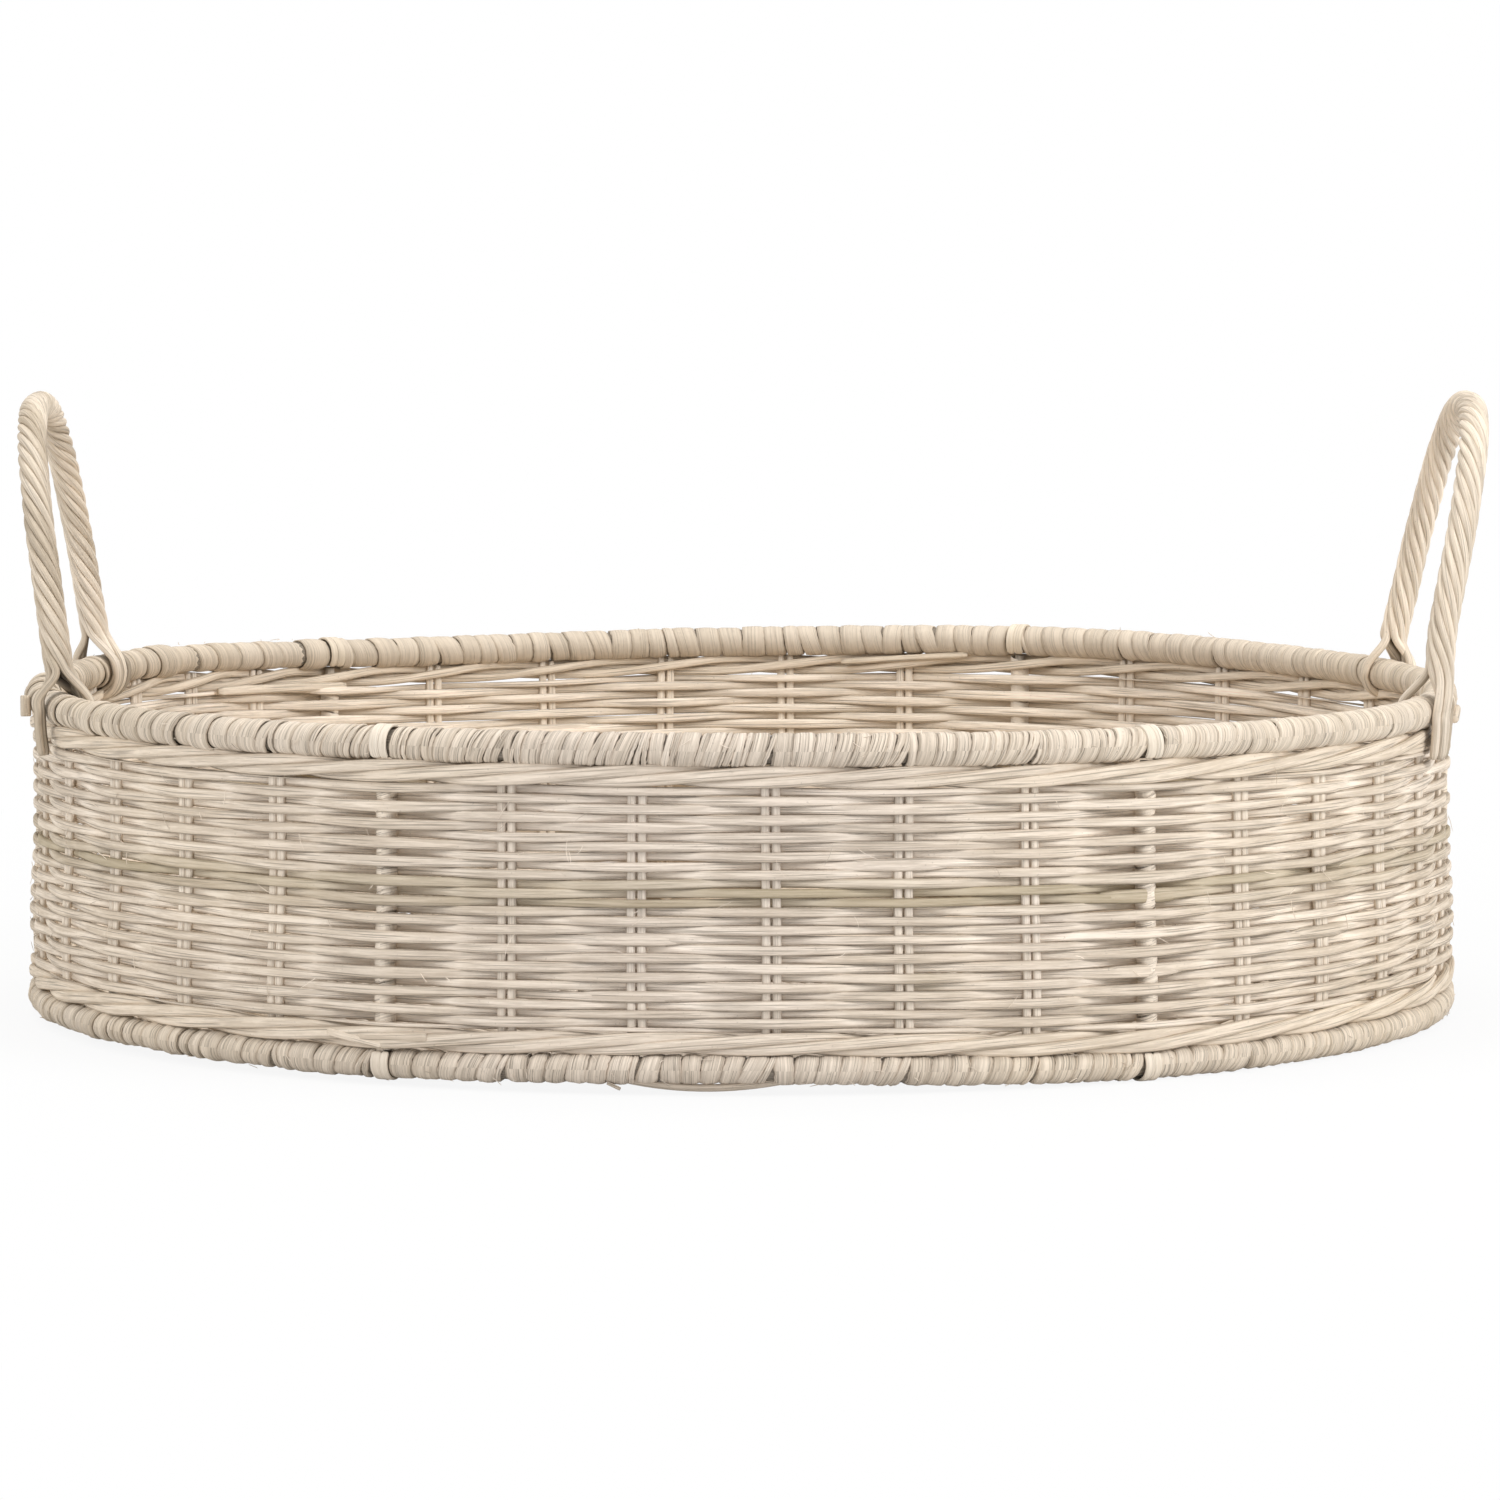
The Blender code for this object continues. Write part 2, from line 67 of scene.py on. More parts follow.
WALE_DEPTH, WALE_HEIGHT = 0.0013, 0.0020  # half sizes
SPOKE_ARMS = 18
SPOKE_START = math.radians(12.0)
BASE_RADIUS = 0.2385
BASE_MIDDLE_Z = 0.0046
HUB_START, HUB_END, HUB_PITCH = 0.0080, 0.0348, 0.0027
MAT_START, MAT_PITCH = 0.0379, 0.0031
SPOKE_CANE_RADIUS = 0.0012
BASE_WEAVER_DEPTH = 0.00125  # half size
BASE_WEAVER_RISE = 0.00245  # over and under each pair of spokes
BASE_LOWEST = 0.0016  # middle of a weaver where it would press on the table

# Straps and windings of peel
STRAP_WIDTH = 0.0062
STRAP_HALF_THICKNESS = 0.0005
POST_TURN_WIDTH = (0.0060, 0.0085)
POST_PEEL = 0.0003
POST_BARE_END = 0.0025  # hidden by the strap
# Widths of a hoop's turns, slants at a bay's start and end, gaps after and before a strap, share of split
# turns, and thickness of the peel
TOP_WINDING = ((0.0046, 0.0068), (0.0002, 0.0017), (0.0009, -0.0003), 0.5, 0.00055)
BOTTOM_WINDING = ((0.0056, 0.0076), (0.0003, 0.0018), (-0.0003, 0.0008), 0.1, 0.0010)
SPLIT_WIDTH = (0.0013, 0.0030)
FRAYED_FROM, FRAYED_TO = math.radians(228), math.radians(308)  # here the turns split into narrow ones
LUMPS_ANGLE = math.radians(136)  # here they are wide and uneven
GAP_SHADE_TONE = -7.5  # painted shade: the pole is dark where it shows between two turns
POLE_DEPTH = 0.0008  # of the pole's skin below the winding's face
# Section of one turn: places across its width, height over the pole and how far painted shade darkens its
# edges
PEEL_ACROSS = np.array((-0.5, -0.5, -0.32, -0.1, 0.12, 0.32, 0.5, 0.5))
PEEL_RISE = np.array((-0.6, 0.30, 0.80, 1.0, 1.0, 0.85, 0.45, -0.6))
PEEL_SHADE = np.array((4, 2.2, 0, 0, 0, 0.4, 2.6, 4))
PEEL_LIFT = 0.00025  # of one edge over the other
PEEL_RAGGED = 0.00012

# Handles
HANDLE_HALF_SPAN = 0.0790
HANDLE_RISE = 0.1030
LEFT_HANDLE_DROP = 0.0019
RIGHT_HANDLE_LEAN, LEFT_HANDLE_LEAN = math.radians(11.9), math.radians(8.6)
HANDLE_SQUARENESS = 2.6
STRANDS = 8
STRAND_RADIUS = 0.00143
STRAND_CENTRE = 0.0037  # from the rope's middle to the middle of each rod
LAY_LENGTH = 0.053
FAN_PITCH = 0.0021  # between rods where they pass the hoop in two layers
FAN_LAYER = 0.0019
BESIDE_HOOP = 0.0072
TWIST_FROM, TWIST_RUN = 0.006, 0.014  # above the foot the rods start to twist
FAN_FROM, FAN_RUN = 0.002, 0.013  # and here they have left their fan
FAN_SORTED_AT = 0.018  # their places at this height say which of them pass the hoop inside
TAIL_DROP, TAIL_PRESS = 0.0155, 0.0014  # of a tail down the wall, and towards it
TAIL_CURL = math.radians(82)  # of a tail under the hoop
# How far the leg at +Y, the top and the leg at -Y bow out, how far each foot steps out, how many rods pass
# inside the hoop at each foot, and the tones of the two legs, painted light and shade set to how brightly
# each leg is lit, palest on the right handle. The left handle is turned half round.
RIGHT_SHAPE = ((0.0012, 0.0017, 0.0015), (0.0008, 0.0052), (1, 1), (3.6, 1.4))
LEFT_SHAPE = ((-0.0011, -0.0002, 0.0), (-0.0006, 0.0), (6, 6), (-0.3, 2.6))

# How far the hand-bent hoops rise above a level ring, in mm, at every 30 degrees from +X
TOP_LIFT = (0.0, 0.8, 2.4, 0.3, -1.2, 2.0, 0.5, 0.0, 0.4, 0.5, -0.6, -1.2)
BOTTOM_LIFT = (0.5, 1.0, 0.0, 1.5, 0.0, 1.0, 1.0, 2.0, 1.6, 3.0, 0.0, 0.0)
WALL_BULGE = 0.0016  # the wall is this much wider a little above its foot
BULGE_Z, BULGE_SPREAD = 0.030, 0.016
BULGE_START, BULGE_RUN = 0.21, 0.02  # the base inside this radius doesn't bulge

# Rods that kept their skin, and a stain low on the right of the front
KHAKI_Z, KHAKI_SPREAD = 0.0630, 0.0044
STAIN_ANGLE, STAIN_Z = 4.955, 0.0343
STAIN_SPREAD = (0.026, 0.0019)  # along the wall in radians, and up it
KHAKI = ((0.33, 0.26, 0.155), (0.48, 0.405, 0.265))
WARM_CAST, GREY_CAST = (1.03, 0.982, 0.885), (0.93, 0.915, 0.94)
LEVEL_PER_TONE = 0.085

# Painted shade: a rod's narrow sides darken from this share of its half height on, more below than above
SIDE_FROM, SIDE_RUN = 0.72, 0.26
SHADE_BELOW, SHADE_ABOVE = 1.3, 0.6

# Loose fibres
WEAVER_HAIRS, HOOP_HAIRS = 110, 160
WEAVER_HAIR_THICKNESS, HOOP_HAIR_THICKNESS = 0.00012, 0.00013

# Camera, in metres, degrees below level and millimetres
CAMERA_PLACE = (0.0029, -2.75, 0.3263)
CAMERA_TILT = 4.9
CAMERA_LENS, CAMERA_SENSOR = 188.2, 36.0
# Name, place, size and watts of each lamp, the point that they face, and the light from all round
LAMPS = (
    ("key", (2.1, -1.5, 1.7), 1.4, 46.0),
    ("fill", (-2.1, -1.5, 1.7), 1.6, 26.0),
    ("top", (0.0, 0.2, 2.6), 1.8, 28.0),
)
LAMP_AIM = Vector((0, 0, 0.08))
SKY_COLOUR, SKY_STRENGTH = (1.0, 0.99, 0.97, 1.0), 0.64
FLOOR_REACH = 14.0

TAU = 2 * math.pi
UP = np.array((0.0, 0.0, 1.0))
chance = np.random.default_rng(41)


def unit(vectors):
    """Vectors scaled to length 1."""
    return vectors / np.maximum(np.linalg.norm(vectors, axis=-1, keepdims=True), 1e-12)


def polar(radius, angle, height):
    """Points from radius, angle and height, which may be numbers or arrays."""
    radius, angle, height = np.broadcast_arrays(radius, angle, height)
    return np.stack((radius * np.cos(angle), radius * np.sin(angle), height), axis=-1)


def wall_directions(angle):
    """Unit vectors outwards and along the wall at an angle."""
    return polar(1.0, angle, 0.0), polar(1.0, angle + math.pi / 2, 0.0)


def lengths_along(path):
    """How far along a path each of its points lies."""
    return np.concatenate(([0.0], np.cumsum(np.linalg.norm(np.diff(path, axis=0), axis=1))))


def smooth_step(share):
    """0 below 0, 1 above 1, and a smooth rise between."""
    share = np.clip(share, 0.0, 1.0)
    return share * share * (3 - 2 * share)


def around(values, angle):
    """A smooth closed curve through values at even angles, read at angle."""
    values = np.asarray(values)
    place = np.mod(angle, TAU) / TAU * len(values)
    low = np.floor(place).astype(int)
    s = place - low
    before, here, after, beyond = (values[(low + step) % len(values)] for step in (-1, 0, 1, 2))
    slope, next_slope = (after - before) / 2, (beyond - here) / 2
    return (
        here * (2 * s**3 - 3 * s**2 + 1)
        + slope * (s**3 - 2 * s**2 + s)
        + after * (3 * s**2 - 2 * s**3)
        + next_slope * (s**3 - s**2)
    )


def hand_made(points):
    """Moves points of a true round tray to where the uneven hoops and the bulging wall put them."""
    radius = np.hypot(points[:, 0], points[:, 1])
    angle = np.arctan2(points[:, 1], points[:, 0])
    height = points[:, 2]
    share = np.clip((height - BOTTOM_HOOP_Z) / (TOP_HOOP_Z - BOTTOM_HOOP_Z), 0.0, 1.0)
    near_wall = np.clip(radius / WALL_RADIUS, 0.0, 1.0) ** 3
    lift = 0.001 * (around(TOP_LIFT, angle) * share + around(BOTTOM_LIFT, angle) * (1 - share) * near_wall)
    bulge = WALL_BULGE * np.exp(-(((height - BULGE_Z) / BULGE_SPREAD) ** 2) / 2)
    grown = radius + bulge * smooth_step((radius - BULGE_START) / BULGE_RUN)
    return polar(grown, angle, height + lift)


class Strands:
    """Rods and strips gathered into one mesh, with UVs in metres and a tone and a tint along each strand. The
    tone holds each strand's own lightness and also painted light and shade.
    """

    def __init__(self):
        self.points, self.faces, self.uvs = [], [], []
        self.tones, self.tints = [], []
        self.total = 0

    def grid(self, rings, uv_along, uv_across, tone, tint, closed):
        """Faces over rings of points that each close on themselves. rings is (n, sides, 3).

        The UVs start at a place of chance, so that no two strands show the same streaks.
        """
        count, sides = rings.shape[:2]
        runs = np.arange(count if closed else count - 1)
        nexts = (runs + 1) % count
        here = np.arange(sides)
        following = (here + 1) % sides
        corners = np.stack(
            (
                runs[:, None] * sides + here,
                runs[:, None] * sides + following,
                nexts[:, None] * sides + following,
                nexts[:, None] * sides + here,
            ),
            axis=-1,
        ).reshape(-1, 4)
        step = uv_along[1] - uv_along[0]
        ends = np.where(nexts == 0, uv_along[-1] + step, uv_along[nexts])
        starts = uv_along[runs]
        across_next = np.append(uv_across[1:], uv_across[-1] + uv_across[1] - uv_across[0])
        shift = chance.uniform(0.0, 40.0, 2)
        u = np.stack((starts, starts, ends, ends), axis=-1)[:, None, :].repeat(sides, axis=1)
        v = np.stack((uv_across, across_next, across_next, uv_across), axis=-1)
        v = v[None].repeat(len(runs), axis=0)
        self.faces.append(corners + self.total)
        self.uvs.append(np.stack((u + shift[0], v + shift[1]), axis=-1).reshape(-1, 4, 2))
        self.points.append(rings.reshape(-1, 3))
        tone = np.asarray(tone)
        tone = tone if tone.ndim == 2 else tone[..., None]
        self.tones.append(np.broadcast_to(tone, (count, sides)).ravel())
        self.tints.append(np.repeat(np.broadcast_to(tint, count), sides))
        if not closed:
            self.cap(sides, 0, shift)
            self.cap(sides, count - 1, shift)
        self.total += count * sides

    def cap(self, sides, ring, shift):
        """Closes an end by folding its ring flat."""
        loop = self.total + ring * sides + np.arange(sides)
        low, high = loop[: sides // 2], loop[sides // 2 :][::-1]
        quads = np.stack((low[:-1], low[1:], high[1:], high[:-1]), axis=-1)
        if ring == 0:
            quads = quads[:, ::-1]
        self.faces.append(quads)
        self.uvs.append(np.zeros((len(quads), 4, 2)) + shift)

    def rod(
        self,
        path,
        depth,
        height,
        up,
        sides,
        *,
        tone,
        tint=0.0,
        closed=False,
        power=2.2,
        taper=0.3,
        edge=0.0,
        away=None,
    ):
        """A rod along path. depth and height are half sizes along up and across it.

        A section of power 2 is an ellipse, and a higher power squares it. taper thins both ends. edge is how
        much painted shade darkens the rod along its narrow sides, most of all below, or where it faces
        against away.
        """
        count = len(path)
        depth = np.broadcast_to(depth, count).astype(float).copy()
        height = np.broadcast_to(height, count).astype(float).copy()
        if closed:
            along = unit(np.roll(path, -1, axis=0) - np.roll(path, 1, axis=0))
        else:
            along = unit(np.gradient(path, axis=0))
            depth[[0, -1]] *= 1 - taper
            height[[0, -1]] *= 1 - taper
        side = unit(np.cross(along, np.broadcast_to(up, path.shape)))
        over = np.cross(side, along)
        turn = TAU * (np.arange(sides) + 0.5) / sides
        waves = (np.cos(turn), np.sin(turn))
        depth_wave, height_wave = (np.sign(wave) * np.abs(wave) ** (2 / power) for wave in waves)
        rings = (
            path[:, None]
            + over[:, None] * (depth[:, None] * depth_wave)[..., None]
            + side[:, None] * (height[:, None] * height_wave)[..., None]
        )
        girth = 3.2 * (depth.mean() + height.mean())
        if away is None:
            shade = np.where(height_wave > 0, SHADE_BELOW, SHADE_ABOVE)
            hidden = (smooth_step((np.abs(height_wave) - SIDE_FROM) / SIDE_RUN) * shade)[None]
        else:
            facing = over[:, None] * waves[0][:, None] + side[:, None] * waves[1][:, None]
            hidden = smooth_step((0.45 - (facing * away[:, None]).sum(axis=-1)) / 0.8)
        tone = np.broadcast_to(tone, count)[:, None] - edge * hidden
        self.grid(rings, lengths_along(path), girth * np.arange(sides) / sides, tone, tint, closed)

    def wrap(self, axis, radius, width, slant, thickness, tone, edge, sides=24):
        """One turn of peel round a pole, slant metres further along above the pole than beside it.

        edge is how much painted shade darkens it along its two edges, where it meets the next turn.
        """
        centre, out, over = axis
        turn = TAU * np.arange(sides) / sides
        across = PEEL_ACROSS * width
        rise = PEEL_RISE * thickness + np.linspace(-0.5, 0.5, len(across)) * PEEL_LIFT
        edges = np.zeros((sides, len(across)))
        edges[:, :2] = chance.normal(0, PEEL_RAGGED, (sides, 1))
        edges[:, -2:] = chance.normal(0, PEEL_RAGGED, (sides, 1))
        place = across[None] + edges + (slant * np.sin(turn))[:, None]
        uneven = chance.normal(0, 0.09 * thickness, (1, len(across)))
        uneven = uneven + chance.normal(0, 0.05 * thickness, edges.shape)
        oval = radius * (1 + 0.010 * np.sin(turn + chance.uniform(0, TAU)))
        reach = oval[:, None] + rise[None] + uneven
        rings = (
            centre(place)
            + out(place) * (reach * np.cos(turn)[:, None])[..., None]
            + over(place) * (reach * np.sin(turn)[:, None])[..., None]
        )
        tone = np.full(edges.shape, tone) - edge * PEEL_SHADE
        self.grid(rings, turn * radius, np.append(across[:-1], across[-1] + thickness), tone, 0.0, True)

    def hair(self, angle, radius, height, lean, length, thickness):
        """A loose fibre that starts at a surface facing lean above level and curls away from it."""
        out, aside = polar(math.cos(lean), angle, math.sin(lean)), wall_directions(angle)[1]
        heading = chance.uniform(0, TAU)
        level = math.cos(heading) * aside + math.sin(heading) * np.cross(out, aside)
        curl = chance.uniform(-0.6, 0.6) * np.cross(out, level)
        run = np.linspace(0, 1, 7)[:, None]
        path = polar(radius, angle, height) + length * (run * level + 0.22 * run * out + run**2 * curl)
        self.rod(path, thickness, thickness, out, 4, tone=chance.normal(1.6, 1.4), taper=0.8)

    def make(self, name, material):
        """One mesh object of all the strands."""
        points = hand_made(np.concatenate(self.points))
        faces = np.concatenate(self.faces)
        mesh = bpy.data.meshes.new(name)
        mesh.vertices.add(len(points))
        mesh.vertices.foreach_set("co", points.astype(np.float32).ravel())
        mesh.loops.add(faces.size)
        mesh.loops.foreach_set("vertex_index", faces.astype(np.int32).ravel())
        mesh.polygons.add(len(faces))
        mesh.polygons.foreach_set("loop_start", np.arange(0, faces.size, 4, dtype=np.int32))
        mesh.update(calc_edges=True)
        layer = mesh.uv_layers.new(name="strand")
        layer.data.foreach_set("uv", np.concatenate(self.uvs).astype(np.float32).ravel())
        for label, values in (("tone", self.tones), ("tint", self.tints)):
            attribute = mesh.attributes.new(label, "FLOAT", "POINT")
            attribute.data.foreach_set("value", np.concatenate(values).astype(np.float32))
        mesh.validate()
        mesh.shade_smooth()
        mesh.materials.append(material)
        made = bpy.data.objects.new(name, mesh)
        bpy.context.scene.collection.objects.link(made)
        return made


def dress(name, strands, material, node):
    """A piece in place of one node of the frame."""
    piece = strands.make(name, material)
    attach(piece, "root")
    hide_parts(node)


# Materials


class Nodes:
    """Short ways to add nodes to a material."""

    def __init__(self, name):
        self.material = bpy.data.materials.new(name)
        self.material.use_nodes = True
        self.tree = self.material.node_tree
        self.shader = self.tree.nodes["Principled BSDF"]

    def add(self, kind, **settings):
        node = self.tree.nodes.new(kind)
        for key, value in settings.items():
            setattr(node, key, value)
        return node

    def link(self, source, target):
        self.tree.links.new(source, target)

    def math(self, operation, first, second=0.0):
        """The result of a sum on sockets or numbers."""
        node = self.add("ShaderNodeMath", operation=operation)
        for socket, value in zip(node.inputs, (first, second)):
            if isinstance(value, (int, float)):
                socket.default_value = value
            else:
                self.link(value, socket)
        return node.outputs[0]

    def noise(self, vector, scales, detail, roughness=0.5):
        """Noise of 0 to 1 with its own scale along each axis of vector."""
        stretch = self.add("ShaderNodeVectorMath", operation="MULTIPLY")
        self.link(vector, stretch.inputs[0])
        stretch.inputs[1].default_value = scales
        texture = self.add("ShaderNodeTexNoise")
        self.link(stretch.outputs[0], texture.inputs["Vector"])
        texture.inputs["Scale"].default_value = 1.0
        texture.inputs["Detail"].default_value = detail
        texture.inputs["Roughness"].default_value = roughness
        return texture.outputs["Fac"]

    def spread(self, value, low, high, start=0.0, end=1.0):
        """start where value is low or less, end where it is high or more, and even between."""
        node = self.add("ShaderNodeMapRange", clamp=True)
        self.link(value, node.inputs["Value"])
        for socket, number in zip(("From Min", "From Max", "To Min", "To Max"), (low, high, start, end)):
            node.inputs[socket].default_value = number
        return node.outputs["Result"]

    def mix(self, share, first, second):
        """A colour between first and second."""
        node = self.add("ShaderNodeMix", data_type="RGBA")
        for socket, value in zip((node.inputs[0], node.inputs[6], node.inputs[7]), (share, first, second)):
            if isinstance(value, (int, float)):
                socket.default_value = value
            elif isinstance(value, tuple):
                socket.default_value = (*value, 1.0)
            else:
                self.link(value, socket)
        return node.outputs[2]


def rattan(name, pale, dark, streak_width, contrast, roughness=0.6, mottle=1.0, lines=0.35, calm=0.0):
    """Dry whitewashed rattan: streaks and dark fibres along each strand, a tone for each, worn patches, and
    painted light that makes the back and the sides of the tray paler.

    Streaks streak_width wide run from dark to pale. mottle is the strength of the patches and specks, lines
    that of the dark fibres, and calm is how far the streaks fade at the back of the tray.
    """
    n = Nodes(name)
    uv = n.add("ShaderNodeUVMap", uv_map="strand").outputs["UV"]
    place = n.add("ShaderNodeTexCoord").outputs["Object"]
    tone = n.add("ShaderNodeAttribute", attribute_name="tone").outputs["Fac"]
    tint = n.add("ShaderNodeAttribute", attribute_name="tint").outputs["Fac"]
    fine = n.noise(uv, (60.0, 1.0 / streak_width, 1.0), 3.0, 0.7)
    broad = n.noise(uv, (16.0, 0.35 / streak_width, 1.0), 2.0)
    fibre = n.noise(uv, (28.0, 1.7 / streak_width, 1.0), 1.0)
    drift = n.noise(uv, (9.0, 0.0, 1.0), 2.0)
    blotch = n.noise(uv, (60.0, 260.0, 1.0), 3.0, 0.6)
    speck = n.noise(place, (900.0, 900.0, 900.0), 1.0)
    region = n.noise(place, (11.0, 11.0, 22.0), 2.0)
    # Streaks, greyer in the middle of the front and warmer at the sides and the back
    streak = n.math("ADD", n.math("MULTIPLY", fine, 0.62), n.math("MULTIPLY", broad, 0.38))
    half = 0.13 / contrast
    colour = n.mix(n.spread(streak, 0.5 - half, 0.5 + half), dark, pale)
    warm, grey = (tuple(a * b for a, b in zip(pale, cast)) for cast in (WARM_CAST, GREY_CAST))
    side = n.add("ShaderNodeSeparateXYZ")
    n.link(place, side.inputs[0])
    outer = n.spread(n.math("ABSOLUTE", side.outputs["X"]), 0.03, 0.22, 0.0, 0.95)
    back = n.spread(side.outputs["Y"], 0.05, 0.22)
    warmth = n.math("ADD", n.math("MAXIMUM", outer, back), n.spread(region, 0.3, 0.7, -0.3, 0.35))
    colour = n.mix(0.4, colour, n.mix(n.spread(warmth, 0.0, 1.0), grey, warm))
    # Dark fibres, worn patches and specks
    stained = tuple(c * 0.62 for c in dark)
    colour = n.mix(n.math("MULTIPLY", n.spread(fibre, 0.57, 0.68), lines), colour, stained)
    colour = n.mix(n.math("MULTIPLY", n.spread(blotch, 0.60, 0.80), 0.34 * mottle), colour, stained)
    colour = n.mix(n.math("MULTIPLY", n.spread(speck, 0.70, 0.78), 0.30 * mottle), colour, stained)
    # Fewer streaks at the back, and khaki skin where the strand is tinted
    middle = tuple(0.66 * a + 0.34 * b for a, b in zip(pale, dark))
    colour = n.mix(n.math("MULTIPLY", back, calm), colour, middle)
    colour = n.mix(n.spread(tint, 0.0, 1.0, 0.0, 0.82), colour, n.mix(fine, *KHAKI))
    # The strand's tone, which also carries painted light and shade, and painted light that makes the back and
    # the sides paler
    value = n.add("ShaderNodeHueSaturation")
    n.link(colour, value.inputs["Color"])
    level = n.math("ADD", n.math("MULTIPLY", tone, LEVEL_PER_TONE), n.spread(drift, 0.3, 0.7, 0.92, 1.06))
    # Painted light: the back and the sides of the tray are made paler
    painted_light = n.math("ADD", n.math("MULTIPLY", back, 0.08), n.math("MULTIPLY", outer, 0.04))
    level = n.math("ADD", level, painted_light)
    n.link(n.math("MAXIMUM", level, 0.16), value.inputs["Value"])
    n.link(n.spread(tone, -1.5, 1.5, 1.10, 0.90), value.inputs["Saturation"])
    n.link(value.outputs["Color"], n.shader.inputs["Base Color"])
    # Roughness and relief
    n.link(n.spread(fine, 0.3, 0.7, roughness + 0.12, roughness - 0.08), n.shader.inputs["Roughness"])
    n.shader.inputs["Specular IOR Level"].default_value = 0.3
    bump = n.add("ShaderNodeBump")
    bump.inputs["Strength"].default_value = 0.7
    bump.inputs["Distance"].default_value = 0.0002 * contrast
    relief = n.math("SUBTRACT", n.math("MULTIPLY", fine, 0.8), n.spread(fibre, 0.55, 0.70, 0.0, 0.8 * lines))
    n.link(n.math("ADD", relief, n.math("MULTIPLY", blotch, 0.4)), bump.inputs["Height"])
    n.link(bump.outputs["Normal"], n.shader.inputs["Normal"])
    return n.material


weaver_look = rattan("weaver_rattan", (0.80, 0.705, 0.60), (0.51, 0.43, 0.345), 0.0006, 2.0, lines=0.7)
stake_look = rattan("stake_rattan", (0.82, 0.73, 0.625), (0.57, 0.49, 0.40), 0.0006, 1.6, lines=0.5)
wale_look = rattan("wale_rattan", (0.80, 0.70, 0.585), (0.53, 0.445, 0.35), 0.0007, 1.9, lines=0.7)
peel_look = rattan(
    "peel_winding",
    (0.77, 0.675, 0.565),
    (0.43, 0.365, 0.29),
    0.0006,
    1.7,
    roughness=0.55,
    lines=0.8,
    calm=0.6,
)
strap_look = rattan(
    "post_strap_peel",
    (0.79, 0.71, 0.605),
    (0.58, 0.50, 0.405),
    0.0006,
    1.4,
    roughness=0.5,
    mottle=0.4,
    lines=0.5,
)
handle_look = rattan("handle_rattan", (0.69, 0.605, 0.505), (0.40, 0.335, 0.26), 0.0006, 1.4, lines=0.6)
base_look = rattan("base_rattan", (0.76, 0.665, 0.555), (0.53, 0.445, 0.35), 0.0006, 1.3)


# The wall


def upright_places():
    """The angle of every post and stake in order, and which of them are posts."""
    angles, posts = [], []
    for number, start in enumerate(POST_ANGLES):
        end = (POST_ANGLES + (360.0,))[number + 1]
        for count in range(STAKES_PER_BAY + 1):
            angles.append(math.radians(start + (end - start) * count / (STAKES_PER_BAY + 1)))
            posts.append(count == 0)
    return np.array(angles), np.array(posts)


ANGLES, IS_POST = upright_places()
COUNT = len(ANGLES)
# Half depth of each upright where the rods press on it a little
HALF_UPRIGHT = np.where(IS_POST, POST_RADIUS - 0.0008, STAKE_DEPTH - 0.0003)


def angle_at(index):
    """Angle at a whole or part index of the uprights, counted on past one turn."""
    index = np.asarray(index, float)
    low = np.floor(index).astype(int)
    turns, within = np.divmod(low, COUNT)
    start = ANGLES[within] + TAU * turns
    nexts, following = np.divmod(low + 1, COUNT)
    end = ANGLES[following] + TAU * nexts
    return start + (end - start) * (index - low)


def wander(angle, height):
    """Slow unevenness that neighbouring rows share."""
    waves = 0.00022 * np.sin(3 * angle + 60 * height + 0.7) + 0.00016 * np.sin(7 * angle - 110 * height)
    return waves + 0.00010 * np.sin(17 * angle + 210 * height + 2.0)


def aged(angle, height):
    """Khaki tint of the few rows whose rods kept their skin, strongest half way up, and of the stain."""
    band = np.exp(-(((height - KHAKI_Z) / KHAKI_SPREAD) ** 2))
    aside, above = (np.mod(angle, TAU) - STAIN_ANGLE) / STAIN_SPREAD[0], (height - STAIN_Z) / STAIN_SPREAD[1]
    patch = np.exp(-(aside**2) - above**2)
    return np.maximum(band * np.clip(0.95 + 0.45 * np.sin(2.3 * angle + 900 * height), 0.0, 1.0), 0.8 * patch)


